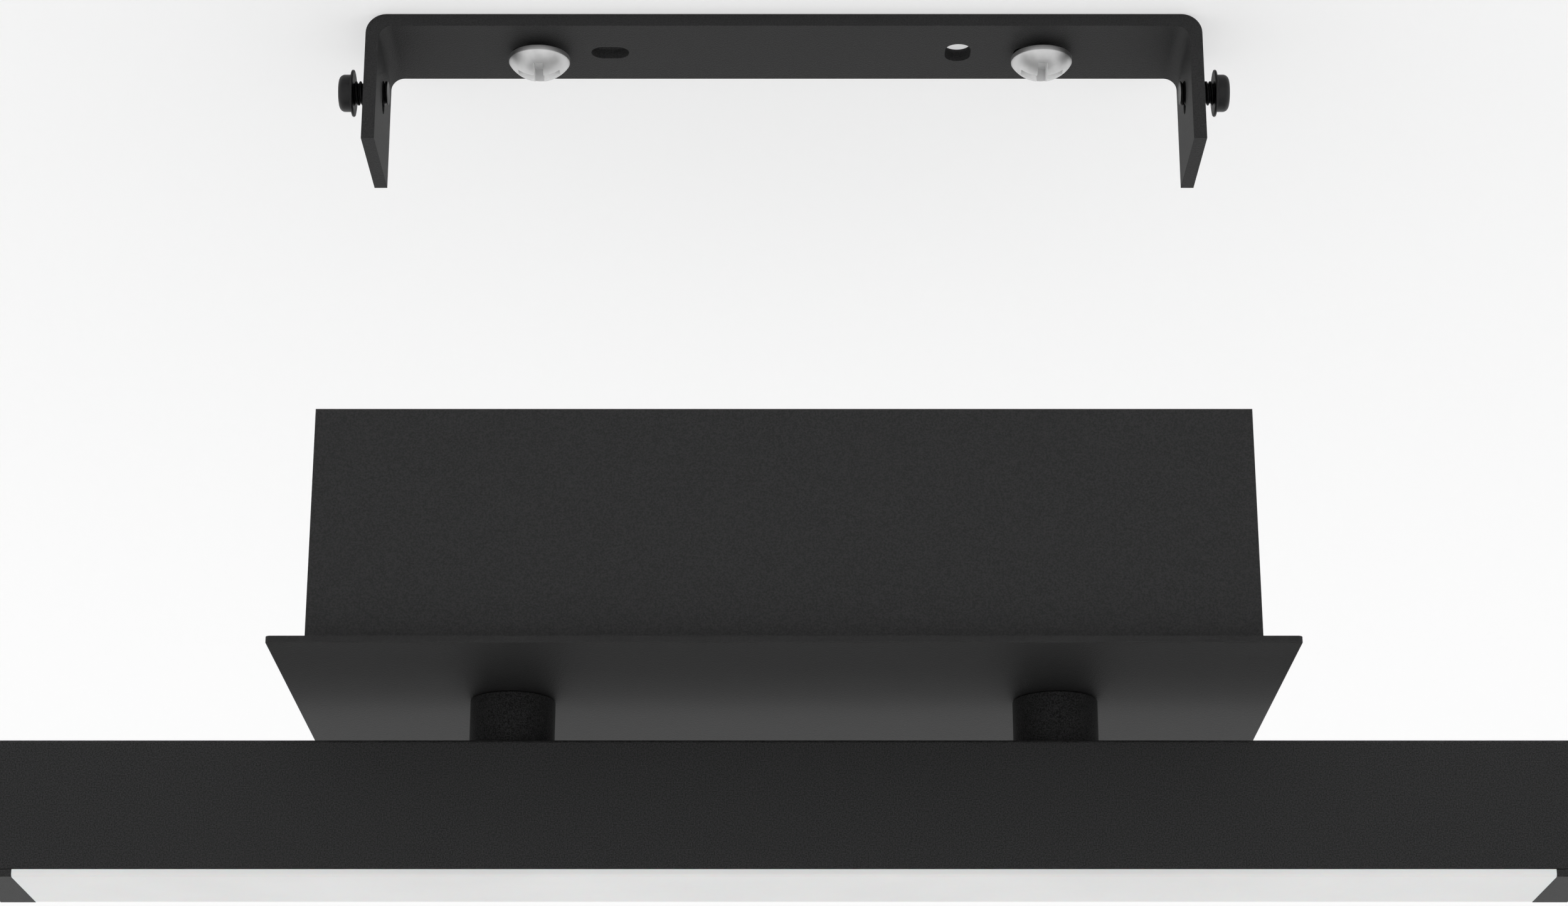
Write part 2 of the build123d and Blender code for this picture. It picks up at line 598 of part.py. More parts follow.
with BuildPart() as board_socket:
    with BuildSketch(Plane.XY.offset(BOARD_BOTTOM - SOCKET_HEIGHT)):
        with Locations((socket_start + SOCKET_LENGTH / 2, 0)):
            Rectangle(SOCKET_LENGTH, SOCKET_WIDTH)
    extrude(amount=SOCKET_HEIGHT)
    with BuildSketch(Plane.YZ.offset(socket_start)):
        with Locations(
            (-LOW_LEAD_Y, BOARD_BOTTOM - SOCKET_HEIGHT / 2),
            (LOW_LEAD_Y, BOARD_BOTTOM - SOCKET_HEIGHT / 2),
        ):
            Circle(LOW_LEAD_R + LEAD_GRIP)
    extrude(amount=SOCKET_HOLE, mode=Mode.SUBTRACT)
keep("board_socket", board_socket.part)

for side, sign in SIDES.items():
    cap_inside = sign * PROFILE_LENGTH / 2
    cap_outside = sign * BEAM_LENGTH / 2
    outward = Plane(origin=(cap_inside, 0, 0), x_dir=(0, sign, 0), z_dir=(sign, 0, 0))
    inward = Plane(origin=(cap_inside, 0, 0), x_dir=(0, -sign, 0), z_dir=(-sign, 0, 0))
    with BuildPart() as end_cap:
        with BuildSketch(outward):
            with Locations((0, (BEAM_TOP + LENS_BOTTOM) / 2)):
                Rectangle(BEAM_WIDTH, BEAM_TOP - LENS_BOTTOM)
        extrude(amount=CAP_THICKNESS)
        fillet(end_cap.edges().filter_by(Axis.X).group_by(Axis.Z)[-1], radius=PROFILE_EDGE_R)
        outer_face = end_cap.faces().sort_by(Axis.X, reverse=sign > 0)[0]
        chamfer(outer_face.outer_wire().edges(), length=CAP_EDGE)
        # The foot closes the beam below the profile, level with the diffuser
        with BuildSketch(inward):
            with Locations((0, LENS_BOTTOM + (LENS_THICKNESS - CAP_GAP) / 2)):
                Rectangle(BEAM_WIDTH, LENS_THICKNESS - CAP_GAP)
        extrude(amount=CAP_FOOT)
        # A short plug enters the profile between its roof and its screw bosses
        plug_top = BEAM_TOP - PROFILE_ROOF - CAP_GAP
        plug_bottom = BEAM_TOP - BOSS_DROP + BOSS_R + CAP_GAP
        with BuildSketch(inward):
            with Locations((0, (plug_top + plug_bottom) / 2)):
                Rectangle(2 * (PROFILE_INSIDE - CAP_GAP), plug_top - plug_bottom)
                Rectangle(
                    2 * (PROFILE_INSIDE - CAP_GAP - CAP_PLUG_WALL),
                    plug_top - plug_bottom - 2 * CAP_PLUG_WALL,
                    mode=Mode.SUBTRACT,
                )
        extrude(amount=CAP_PLUG)
        # Countersunk holes in line with the screw bosses
        with Locations(Plane(origin=(cap_outside, 0, 0), x_dir=(0, sign, 0), z_dir=(sign, 0, 0))):
            with Locations(
                (-BOSS_Y, BEAM_TOP - BOSS_DROP), (BOSS_Y, BEAM_TOP - BOSS_DROP)
            ):
                CounterSinkHole(
                    radius=CAP_SCREW_R + CAP_SCREW_CLEARANCE,
                    counter_sink_radius=CAP_SCREW_HEAD_R + CAP_SCREW_CLEARANCE,
                    depth=CAP_THICKNESS,
                )
    keep(f"end_cap_{side}", end_cap.part)

with BuildPart() as end_cap_screws:
    for sign in SIDES.values():
        for y_sign in (-1, 1):
            screw_y = y_sign * BOSS_Y
            screw_z = BEAM_TOP - BOSS_DROP
            along = Plane(
                origin=(sign * BEAM_LENGTH / 2, screw_y, screw_z),
                x_dir=(-sign, 0, 0),
                z_dir=(0, sign, 0),
            )
            with BuildSketch(along):
                with BuildLine():
                    Polyline(
                        (0, 0),
                        (0, CAP_SCREW_HEAD_R),
                        (CAP_SCREW_HEAD_R - CAP_SCREW_R, CAP_SCREW_R),
                        (CAP_SCREW_LENGTH, CAP_SCREW_R),
                        (CAP_SCREW_LENGTH, 0),
                        close=True,
                    )
                make_face()
            revolve(axis=Axis((0, screw_y, screw_z), (1, 0, 0)))
keep("end_cap_screws", end_cap_screws.part)

with BuildPart() as diffuser:
    leg_outside = PROFILE_INSIDE - BEAD_REACH - LENS_LEG_CLEARANCE
    with BuildSketch(Plane.YZ):
        with Locations((0, LENS_BOTTOM + LENS_THICKNESS / 2)):
            Rectangle(BEAM_WIDTH, LENS_THICKNESS)
        for y_sign in (-1, 1):
            leg_y = y_sign * (leg_outside - LENS_LEG_WALL / 2)
            with Locations((leg_y, PROFILE_BOTTOM + LENS_LEG / 2)):
                Rectangle(LENS_LEG_WALL, LENS_LEG)
            hook_y = y_sign * (leg_outside + LENS_HOOK / 2)
            with Locations((hook_y, PROFILE_BOTTOM + LENS_LEG - LENS_HOOK_HEIGHT / 2)):
                Rectangle(LENS_HOOK, LENS_HOOK_HEIGHT)
    extrude(amount=LENS_LENGTH / 2, both=True)
    long_lower_edges = diffuser.edges().filter_by(Axis.X).group_by(Axis.Z)[0]
    fillet(long_lower_edges, radius=LENS_EDGE_R)
    # A fine groove is left along the seam with the profile
    seam_edges = diffuser.edges().filter_by(Axis.X).filter_by_position(
        Axis.Z, PROFILE_BOTTOM - 0.01, PROFILE_BOTTOM + 0.01
    )
    outer_seam_edges = [seam_edges.sort_by(Axis.Y)[end] for end in (0, -1)]
    chamfer(outer_seam_edges, length=LENS_TOP_EDGE)
keep("diffuser", diffuser.part)

# ---------------------------------------------------------------- driver
ear_x = (DRIVER_LENGTH + EAR_SIZE) / 2
ears = [(-ear_x, EAR_Y), (ear_x, -EAR_Y)]
driver_inside = (DRIVER_LENGTH - 2 * DRIVER_WALL, DRIVER_WIDTH - 2 * DRIVER_WALL)
mains_lead_z = FLOOR + MAINS_LEAD_RISE
low_lead_z = FLOOR + LOW_LEAD_RISE
with BuildPart() as driver_case:
    with BuildSketch(Plane.XY.offset(FLOOR)):
        RectangleRounded(DRIVER_LENGTH, DRIVER_WIDTH, DRIVER_EDGE_R)
    extrude(amount=DRIVER_CASE_HEIGHT)
    with BuildSketch(Plane.XY.offset(FLOOR + DRIVER_WALL)):
        Rectangle(*driver_inside)
    extrude(amount=DRIVER_CASE_HEIGHT, mode=Mode.SUBTRACT)
    with BuildSketch(Plane.XY.offset(FLOOR)):
        with Locations(*ears):
            Rectangle(EAR_SIZE + EAR_ROOT, EAR_SIZE)
    extrude(amount=EAR_THICKNESS)
    with BuildSketch(Plane.XY.offset(FLOOR)):
        with Locations(*ears):
            Circle(SMALL_STUD[0] + STUD_CLEARANCE)
    extrude(amount=EAR_THICKNESS, mode=Mode.SUBTRACT)
    # Standings in the corners carry the circuit board
    with BuildSketch(Plane.XY.offset(FLOOR + DRIVER_WALL)):
        with GridLocations(driver_inside[0] - STANDING_SIZE, driver_inside[1] - STANDING_SIZE, 2, 2):
            Rectangle(STANDING_SIZE, STANDING_SIZE)
    extrude(amount=BOARD_STANDING)
    with BuildSketch(Plane.YZ.offset(-DRIVER_LENGTH / 2)):
        with Locations((POLE_Y[1], mains_lead_z), (POLE_Y[2], mains_lead_z)):
            Circle(MAINS_LEAD_R + LEAD_HOLE_CLEARANCE)
    extrude(amount=DRIVER_WALL, mode=Mode.SUBTRACT)
    with BuildSketch(Plane.YZ.offset(DRIVER_LENGTH / 2)):
        with Locations((-LOW_LEAD_Y, low_lead_z), (LOW_LEAD_Y, low_lead_z)):
            Circle(LOW_LEAD_R + LEAD_HOLE_CLEARANCE)
    extrude(amount=-DRIVER_WALL, mode=Mode.SUBTRACT)
keep("driver_case", driver_case.part)

with BuildPart() as driver_lid:
    with BuildSketch(Plane.XY.offset(DRIVER_TOP)):
        RectangleRounded(DRIVER_LENGTH, DRIVER_WIDTH, DRIVER_EDGE_R)
    extrude(amount=DRIVER_LID)
    chamfer(driver_lid.edges().group_by(Axis.Z)[-1], length=DRIVER_LID_EDGE)
    rim_length = driver_inside[0] - 2 * DRIVER_FIT
    rim_width = driver_inside[1] - 2 * DRIVER_FIT
    with BuildSketch(Plane.XY.offset(DRIVER_TOP)):
        Rectangle(rim_length, rim_width)
        Rectangle(
            rim_length - 2 * DRIVER_LID_RIM_WALL,
            rim_width - 2 * DRIVER_LID_RIM_WALL,
            mode=Mode.SUBTRACT,
        )
    extrude(amount=-DRIVER_LID_RIM)
keep("driver_lid", driver_lid.part)

with BuildPart() as driver_board:
    with BuildSketch(Plane.XY.offset(DRIVER_BOARD_LEVEL)):
        Rectangle(driver_inside[0] - 2 * DRIVER_BOARD_GAP, driver_inside[1] - 2 * DRIVER_BOARD_GAP)
    extrude(amount=DRIVER_BOARD_SHEET)
keep("driver_board", driver_board.part)

parts_level = DRIVER_BOARD_LEVEL + DRIVER_BOARD_SHEET
core_place = (DRIVER_LENGTH / 15, DRIVER_WIDTH / 18)
with BuildPart() as driver_transformer:
    with BuildSketch(Plane.XY.offset(parts_level)):
        with Locations(core_place):
            Rectangle(CORE[0], CORE[1])
    extrude(amount=CORE[2])
    with BuildSketch(Plane.XY.offset(parts_level + (CORE[2] - WINDING[2]) / 2)):
        with Locations(core_place):
            Rectangle(WINDING[0], WINDING[1])
    extrude(amount=WINDING[2])
keep("driver_transformer", driver_transformer.part)

capacitor_x = DRIVER_LENGTH / 4
capacitor_y = DRIVER_WIDTH / 4
with BuildPart() as driver_capacitors:
    with BuildSketch(Plane.XY.offset(parts_level)):
        with Locations(
            (-capacitor_x, capacitor_y), (-capacitor_x, 0), (1.3 * capacitor_x, capacitor_y)
        ):
            Circle(CAPACITOR_R)
    extrude(amount=CAPACITOR_HEIGHT)
    chamfer(driver_capacitors.edges().group_by(Axis.Z)[-1], length=CAPACITOR_EDGE)
keep("driver_capacitors", driver_capacitors.part)

# ---------------------------------------------------------------- mains terminal
terminal_end_y = POLE_Y[0] - POLE_PITCH / 2 - TERMINAL_END
terminal_near_y = POLE_Y[-1] + POLE_PITCH / 2 + TERMINAL_END
terminal_ear_y = terminal_near_y + TERMINAL_EAR / 2
poles = [(pole_y, POLE_Z) for pole_y in POLE_Y]
rails = [TERMINAL_X - RAIL_X, TERMINAL_X + RAIL_X]
screw_places = [(rail_x, pole_y) for pole_y in POLE_Y for rail_x in rails]
with BuildPart() as terminal_body:
    with BuildSketch(Plane.XY.offset(FLOOR)):
        with Locations((TERMINAL_X, (terminal_end_y + terminal_near_y) / 2)):
            Rectangle(TERMINAL_DEPTH, terminal_near_y - terminal_end_y)
    extrude(amount=TERMINAL_DECK)
    with BuildSketch(Plane.XY.offset(FLOOR)):
        with Locations((TERMINAL_X, terminal_ear_y)):
            Rectangle(TERMINAL_DEPTH - 2 * TERMINAL_EAR_INSET, TERMINAL_EAR)
    extrude(amount=TERMINAL_EAR_HEIGHT)
    # Two raised rails shroud the clamp screws
    with BuildSketch(Plane.XY.offset(FLOOR + TERMINAL_DECK)):
        with Locations(*[(rail_x, (terminal_end_y + terminal_near_y) / 2) for rail_x in rails]):
            Rectangle(RAIL_WIDTH, terminal_near_y - terminal_end_y)
    extrude(amount=TERMINAL_TOP - TERMINAL_DECK)
    with BuildSketch(Plane.XY.offset(POLE_Z)):
        with Locations(*screw_places):
            Circle(RAIL_BORE_R)
    extrude(amount=TERMINAL_TOP, mode=Mode.SUBTRACT)
    with BuildSketch(Plane.YZ.offset(TERMINAL_X)):
        with Locations(*poles):
            Rectangle(CAGE_SIZE, CAGE_SIZE)
    extrude(amount=TERMINAL_DEPTH / 2, both=True, mode=Mode.SUBTRACT)
    with BuildSketch(Plane.XY.offset(FLOOR)):
        with Locations((TERMINAL_X, terminal_ear_y)):
            Circle(SMALL_STUD[0] + STUD_CLEARANCE)
    extrude(amount=TERMINAL_EAR_HEIGHT, mode=Mode.SUBTRACT)
keep("terminal_body", terminal_body.part)

cage_outside = CAGE_SIZE - 2 * CAGE_CLEARANCE
with BuildPart() as terminal_brass:
    with BuildSketch(Plane.YZ.offset(TERMINAL_X)):
        with Locations(*poles):
            Rectangle(cage_outside, cage_outside)
            Rectangle(CAGE_OPENING, CAGE_OPENING, mode=Mode.SUBTRACT)
    extrude(amount=CAGE_LENGTH / 2, both=True)
    with BuildSketch(Plane.XY.offset(POLE_Z)):
        with Locations(*screw_places):
            Circle(TERMINAL_SCREW_R + TERMINAL_SCREW_CLEARANCE)
    extrude(amount=CAGE_SIZE, mode=Mode.SUBTRACT)
keep("terminal_brass", terminal_brass.part)

with BuildPart() as terminal_screws:
    screw_foot = POLE_Z + MAINS_LEAD_R + LEAD_GRIP
    with BuildSketch(Plane.XY.offset(screw_foot)):
        with Locations(*screw_places):
            Circle(TERMINAL_SCREW_R)
    extrude(amount=FLOOR + TERMINAL_TOP - TERMINAL_SCREW_SUNK - screw_foot)
keep("terminal_screws", terminal_screws.part)

# ---------------------------------------------------------------- studs, nuts and earth lug
small_places = [*ears, (TERMINAL_X, terminal_ear_y)]
earth_place = [(EARTH_X, EARTH_Y)]
with BuildPart() as floor_studs:
    with BuildSketch(Plane.XY.offset(FLOOR)):
        with Locations(*small_places):
            Circle(SMALL_STUD[0])
    extrude(amount=SMALL_STUD[1])
    with BuildSketch(Plane.XY.offset(FLOOR)):
        with Locations(*earth_place):
            Circle(EARTH_STUD[0])
    extrude(amount=EARTH_STUD[1])
keep("floor_studs", floor_studs.part)

small_bore = SMALL_STUD[0] + THREAD_CLEARANCE
keep("driver_nuts", nut(FLOOR + EAR_THICKNESS, SMALL_STUD[2], small_bore, SMALL_STUD[3], ears))
keep(
    "terminal_nut",
    nut(FLOOR + TERMINAL_EAR_HEIGHT, SMALL_STUD[2], small_bore, SMALL_STUD[3], small_places[-1:]),
)

with BuildPart() as earth_lug:
    lug_barrel_x = EARTH_X - LUG_R - LUG_BARREL / 2
    with BuildSketch(Plane.XY.offset(FLOOR)):
        with Locations(*earth_place):
            Circle(LUG_R)
        with Locations((lug_barrel_x + LUG_R / 2, EARTH_Y)):
            Rectangle(LUG_BARREL + LUG_R, 2 * LUG_BARREL_R)
        with Locations(*earth_place):
            Circle(EARTH_STUD[0] + STUD_CLEARANCE, mode=Mode.SUBTRACT)
    extrude(amount=LUG_SHEET)
    with BuildSketch(Plane.YZ.offset(lug_barrel_x)):
        with Locations((EARTH_Y, FLOOR + LUG_BARREL_R)):
            Circle(LUG_BARREL_R)
    extrude(amount=LUG_BARREL / 2, both=True)
    with BuildSketch(Plane.YZ.offset(lug_barrel_x)):
        with Locations((EARTH_Y, FLOOR + LUG_BARREL_R)):
            Circle(MAINS_LEAD_R + LUG_CRIMP)
    extrude(amount=LUG_BARREL / 2, both=True, mode=Mode.SUBTRACT)
keep("earth_lug", earth_lug.part)
earth_bore = EARTH_STUD[0] + THREAD_CLEARANCE
keep("earth_nut", nut(FLOOR + LUG_SHEET, EARTH_STUD[2], earth_bore, EARTH_STUD[3], earth_place))

# ---------------------------------------------------------------- leads
pole_exit_x = TERMINAL_X + TERMINAL_DEPTH / 2
lead_start_x = pole_exit_x - LEAD_IN_CAGE
driver_entry_x = -DRIVER_LENGTH / 2 + LEAD_IN_DRIVER
lug_end_x = EARTH_X - LUG_R - LUG_BARREL
leads = {}
for node, pole_y in (("live_lead", POLE_Y[1]), ("neutral_lead", POLE_Y[2])):
    leads[node] = (
        MAINS_LEAD_R,
        [
            (lead_start_x, pole_y, POLE_Z),
            (pole_exit_x + MAINS_LEAD_STRAIGHT, pole_y, POLE_Z),
            (driver_entry_x - MAINS_LEAD_STRAIGHT, pole_y, mains_lead_z),
            (driver_entry_x, pole_y, mains_lead_z),
        ],
    )
leads["earth_lead"] = (
    MAINS_LEAD_R,
    [
        (lead_start_x, EARTH_Y, POLE_Z),
        (pole_exit_x + LEAD_IN_CAGE, EARTH_Y, POLE_Z),
        (lug_end_x - LEAD_IN_CAGE, EARTH_Y, FLOOR + LUG_BARREL_R),
        (lug_end_x + LEAD_IN_CAGE, EARTH_Y, FLOOR + LUG_BARREL_R),
    ],
)
# The low-voltage pair turns down into a tube, drops through it, and slants through the hole in the
# carrier and the board to the socket below
turn_z = TUBE_BOTTOM - TURN_DROP
hole_z = CARRIER_TOP - (CARRIER_SHEET + BOARD_SHEET) / 2
board_lead_z = BOARD_BOTTOM - SOCKET_HEIGHT / 2
for node, lead_y in (("positive_lead", -LOW_LEAD_Y), ("negative_lead", LOW_LEAD_Y)):
    leads[node] = (
        LOW_LEAD_R,
        [
            (DRIVER_LENGTH / 2 - LEAD_IN_CAGE, lead_y, low_lead_z),
            (STANDOFF_X, lead_y, low_lead_z),
            (STANDOFF_X, lead_y, turn_z),
            (LEAD_HOLE_X - (turn_z - hole_z), lead_y, turn_z),
            (LEAD_HOLE_X + (hole_z - board_lead_z), lead_y, board_lead_z),
            (socket_start + SOCKET_HOLE - LEAD_IN_SOCKET_GAP, lead_y, board_lead_z),
        ],
    )
for node, (lead_r, points) in leads.items():
    radii = bend_radii(points)
    with BuildPart() as lead:
        with BuildLine() as route:
            FilletPolyline(*points, radius=radii)
        path = route.wires()[0]
        with BuildSketch(Plane(origin=path @ 0, z_dir=path % 0)):
            Circle(lead_r)
        sweep(path=path)
    keep(node, lead.part)
    swept = lead.part.volume / (pi * lead_r**2)
    print(f"{node}: {path.length:.1f} mm long, {swept:.1f} mm by volume,", end=" ")
    print("bends", [round(radius, 1) for radius in radii])
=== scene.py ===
"""Linear LED ceiling lamp, seen from below, hanging off its ceiling bracket while it is being fitted."""

import json
import math

import bmesh
import bpy
from mathutils import Matrix, Vector


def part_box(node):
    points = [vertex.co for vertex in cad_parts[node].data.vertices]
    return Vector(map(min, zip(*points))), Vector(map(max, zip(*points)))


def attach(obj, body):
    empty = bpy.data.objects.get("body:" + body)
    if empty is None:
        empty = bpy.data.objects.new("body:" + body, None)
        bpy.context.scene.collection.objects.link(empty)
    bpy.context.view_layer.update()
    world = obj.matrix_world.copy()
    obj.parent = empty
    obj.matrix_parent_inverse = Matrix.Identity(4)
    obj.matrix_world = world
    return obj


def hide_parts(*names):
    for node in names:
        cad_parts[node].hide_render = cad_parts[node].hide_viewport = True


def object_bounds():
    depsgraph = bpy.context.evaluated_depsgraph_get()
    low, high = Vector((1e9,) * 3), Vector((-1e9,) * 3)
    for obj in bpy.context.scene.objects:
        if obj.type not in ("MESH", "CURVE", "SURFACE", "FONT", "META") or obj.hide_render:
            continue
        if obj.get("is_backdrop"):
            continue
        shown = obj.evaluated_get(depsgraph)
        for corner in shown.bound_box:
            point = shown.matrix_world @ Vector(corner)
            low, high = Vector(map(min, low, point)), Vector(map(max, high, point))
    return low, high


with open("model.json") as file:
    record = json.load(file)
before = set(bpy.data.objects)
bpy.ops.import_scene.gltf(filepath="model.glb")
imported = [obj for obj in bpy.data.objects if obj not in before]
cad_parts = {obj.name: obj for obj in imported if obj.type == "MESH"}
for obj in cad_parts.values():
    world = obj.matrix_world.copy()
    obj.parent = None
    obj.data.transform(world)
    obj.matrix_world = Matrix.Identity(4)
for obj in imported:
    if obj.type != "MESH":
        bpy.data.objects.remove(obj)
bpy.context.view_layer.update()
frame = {"nodes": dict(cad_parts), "record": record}

MM = 0.001

# ---------------------------------------------------------------- camera, stage and light
CAMERA_PLACE = Vector((0.0, -503.1, -251.2)) * MM
CAMERA_PITCH = 19.618
CAMERA_LENS = 77.99
CAMERA_SENSOR = 36.0
CAMERA_CLIP = (0.01, 50.0)
WORLD_STRENGTH = 1.05
STAGE_SPECULAR = 0.1
CEILING_WHITE = 0.96
CEILING_ROUGHNESS = 0.9
CEILING_GAP = 0.15 * MM
CEILING_SPAN = 1.8
# The share of the ceiling that is a plain white glow, over the bracket and far from it, and where it gets
# there. This is painted light: the glow grows away from the bracket, brightening the ceiling there and
# thinning the bracket's shadow on it
CEILING_PAINTED_GLOW = (0.5, 0.82)
CEILING_GLOW_FADE = (0.0, 0.45)
CEILING_RIM_FADE = (0.55, 0.85)
FLOOR_WHITE = 0.9
FLOOR_ROUGHNESS = 0.85
FLOOR_DEPTH = 1.2
FLOOR_SPAN = 14.0
FLOOR_RIM_FADE = (2.5, 6.5)
# Where the ceiling lets light through: how far in from the edges of the bracket and of the canopy, and
# between which lengths of ray
BRACKET_RIM = 0.1 * MM
BRACKET_REACH = (0.0, 0.8 * MM)
CANOPY_RIM = 1.5 * MM
CANOPY_REACH = (15.0 * MM, 70.0 * MM)

# ---------------------------------------------------------------- screw sizes that the frame doesn't give
# How finely they are cut: steps round them, along each turn of a thread, and along a rounding or a point
ROUND_STEPS = 64
THREAD_STEPS = 16
WOOD_THREAD_STEPS = 25.6
ROD_STEPS = 8
HEAD_STEPS = 8
DOME_STEPS = 14
POINT_STEPS = 20
# Vertices nearer than WELD count as one. Slivers are cleared from faces with up to this many corners
WELD = 0.002 * MM
SLIVER = 0.0002 * MM
MOST_CORNERS = 4
# Edges sharper than these angles stay sharp
SMOOTH_ANGLE = 35
DOME_SMOOTH_ANGLE = 30
# RIDGE is half the width of a thread's ridge in pitches, and CREST is the share of a ridge that is flat
THREAD_CREST = 0.13
RECESS_DRAFT = 0.03
SIDE_PITCH = 0.7 * MM
SIDE_THREAD_DEPTH = 0.36 * MM
SIDE_RIDGE = 0.42
SIDE_CREST = 0.4
SIDE_TIP_EDGE = 0.08 * MM
SIDE_SHANK_R = 1.98 * MM
SIDE_FLANGE = 0.45 * MM
# The eased edge of the flange: how far in from its face, and how far in from its rim
SIDE_FLANGE_EDGE = ((0.0, 0.35 * MM), (0.06 * MM, 0.05 * MM), (0.15 * MM, 0.0))
SIDE_FLANGE_DISH = 0.22 * MM
SIDE_HEAD_R = 3.05 * MM
SIDE_HEAD = 2.05 * MM
SIDE_HEAD_FOOT = 0.1 * MM
SIDE_HEAD_ROUND = 0.95 * MM
SIDE_RECESS = (3.4 * MM, 0.9 * MM, 1.3 * MM)
WOOD_PITCH = 1.8 * MM
WOOD_CORE_R = 1.35 * MM
WOOD_THREAD_R = 2.0 * MM
WOOD_RIDGE = 0.22
WOOD_NECK_R = 1.5 * MM
WOOD_NECK_FLARE = 0.6 * MM
WOOD_NECK_ROUND = 0.5 * MM
WOOD_DOME = 2.8 * MM
WOOD_DOME_EDGE = 0.0125 * MM
WOOD_RIM = 0.85 * MM
WOOD_RIM_EDGE = 0.05 * MM
WOOD_POINT = 3.2 * MM
WOOD_POINT_R = 0.05 * MM
WOOD_TIP_R = 0.04 * MM
WOOD_RECESS = (6.9 * MM, 1.6 * MM, 3.2 * MM)
# Faces nearer the dome's centre than this share of its radius are the recess's
WOOD_RECESS_REACH = 0.99
CAP_SHANK_R = 1.2 * MM
CAP_CORE_R = 0.85 * MM
CAP_TIP_R = CAP_CORE_R / 3
CAP_PITCH = 0.9 * MM
CAP_RIDGE = 0.25
CAP_POINT = 1.6 * MM
CAP_HEAD_EDGE = 0.1 * MM
CAP_RECESS = (2.7 * MM, 0.7 * MM, 1.0 * MM)
TERMINAL_EDGE = 0.2 * MM
TERMINAL_SLOT = (3.0 * MM, 0.45 * MM, 0.7 * MM)
# The pitch and the depth of the threads
STUD_THREAD = (0.5 * MM, 0.28 * MM)
TUBE_THREAD = (1.0 * MM, 0.5 * MM)
TUBE_BORE_R = 3.5 * MM
ROD_RIDGE = 0.42
ROD_EDGE = 0.1 * MM

# ---------------------------------------------------------------- black coats, which set the lamp's tone
# For each: how many grains to the metre, how pale its pits and crests are, its specular level, and its
# least and most roughness
COATS = {
    "sheet": (4200, 0.018, 0.0305, 0.16, 0.54, 0.68),
    "plate": (4200, 0.005, 0.0105, 0.37, 0.58, 0.7),
    "turned": (5000, 0.003, 0.025, 0.12, 0.54, 0.68),
    "extruded": (5000, 0.0105, 0.0325, 0.16, 0.54, 0.68),
    "moulded": (5000, 0.0115, 0.0335, 0.16, 0.5, 0.62),
}
# The cover plate, the standoffs and the beam take darker copies of the one black coat: painted shade, for
# the shade that falls under and round the cover plate
SHADED_COAT_OF_NODE = {
    "cover_plate": "plate",
    "standoff_left": "turned",
    "standoff_right": "turned",
    "beam_profile": "extruded",
}
NEUTRAL_BLACK = (1.0, 1.0, 1.01)
COAT_BOUNDS = (0.35, 0.65)
COAT_DETAIL = 1.5
COAT_GRAIN_ROUGHNESS = 0.6
COAT_RELIEF = 0.8
COAT_DEPTH = 0.12 * MM

# ---------------------------------------------------------------- other finishes
# How deep their relief is
FINE_DEPTH = 0.02 * MM
TAPE_DEPTH = 0.05 * MM
# Metals: how dark their stains are, how much finer the marks are, the range of roughness, and relief
METAL_STAIN = 0.88
METAL_MARKS = 8
METAL_ROUGHNESS = (0.8, 1.3)
METAL_RELIEF = 0.12
# Plastics: how many clouds there are to the metre and how dark, the range of roughness, and relief
PLASTIC_CLOUDS = 45
PLASTIC_CLOUD = 0.94
PLASTIC_ROUGHNESS = (0.85, 1.15)
PLASTIC_RELIEF = 0.18
PLASTIC_GLOW_REACH = 1.5 * MM


# ---------------------------------------------------------------- small tools
def new_object(name, mesh):
    """A mesh object in the scene."""
    piece = bpy.data.objects.new(name, mesh)
    bpy.context.scene.collection.objects.link(piece)
    return piece


def baked(piece):
    """The piece with its modifiers made real."""
    bpy.context.view_layer.update()
    shown = piece.evaluated_get(bpy.context.evaluated_depsgraph_get())
    mesh = bpy.data.meshes.new_from_object(shown)
    piece.modifiers.clear()
    old = piece.data
    piece.data = mesh
    bpy.data.meshes.remove(old)
    return piece


def smooth(piece, angle=SMOOTH_ANGLE):
    """Smooth shading, with edges sharper than the angle kept."""
    piece.data.shade_smooth()
    piece.data.set_sharp_from_angle(angle=math.radians(angle))
    return piece


def placed(name, bm, place, axis):
    """The mesh as an object, moved to its place and turned from upright to the axis."""
    turn = Vector((0, 0, 1)).rotation_difference(axis).to_matrix().to_4x4()
    bm.transform(Matrix.Translation(place) @ turn)
    bmesh.ops.recalc_face_normals(bm, faces=bm.faces)
    mesh = bpy.data.meshes.new(name)
    bm.to_mesh(mesh)
    bm.free()
    return new_object(name, mesh)


def turned(name, rows, place, axis, bored=False):
    """A closed body turned about an axis. Each row gives a height and a radius, or a function of angle and
    height that gives the radius. A bored body's last rows are its bore, and close onto the first."""
    bm = bmesh.new()
    rings = []
    for height, radius in rows:
        ring = []
        for step in range(ROUND_STEPS):
            angle = 2 * math.pi * step / ROUND_STEPS
            r = radius(angle, height) if callable(radius) else radius
            ring.append(bm.verts.new((r * math.cos(angle), r * math.sin(angle), height)))
        rings.append(ring)
    for low, high in zip(rings, rings[1:] + rings[:1] if bored else rings[1:]):
        for step in range(ROUND_STEPS):
            after = (step + 1) % ROUND_STEPS
            bm.faces.new((low[step], low[after], high[after], high[step]))
    if not bored:
        bm.faces.new(reversed(rings[0]))
        bm.faces.new(rings[-1])
    return placed(name, bm, place, axis)


def thread(minor, major, pitch, half_ridge, crest_share=THREAD_CREST, fade=None):
    """The radius of a thread as a function of angle and height, for turned(). It grows out of its core
    between the heights that fade gives."""

    def radius(angle, height):
        turn = (height / pitch - angle / (2 * math.pi)) % 1.0
        rise = max(0.0, 1.0 - abs(turn - 0.5) / half_ridge)
        depth = major - minor
        if fade:
            depth *= min(1.0, max(0.0, (height - fade[0]) / (fade[1] - fade[0])))
        return minor + depth * min(1.0, rise / (1 - crest_share))

    return radius


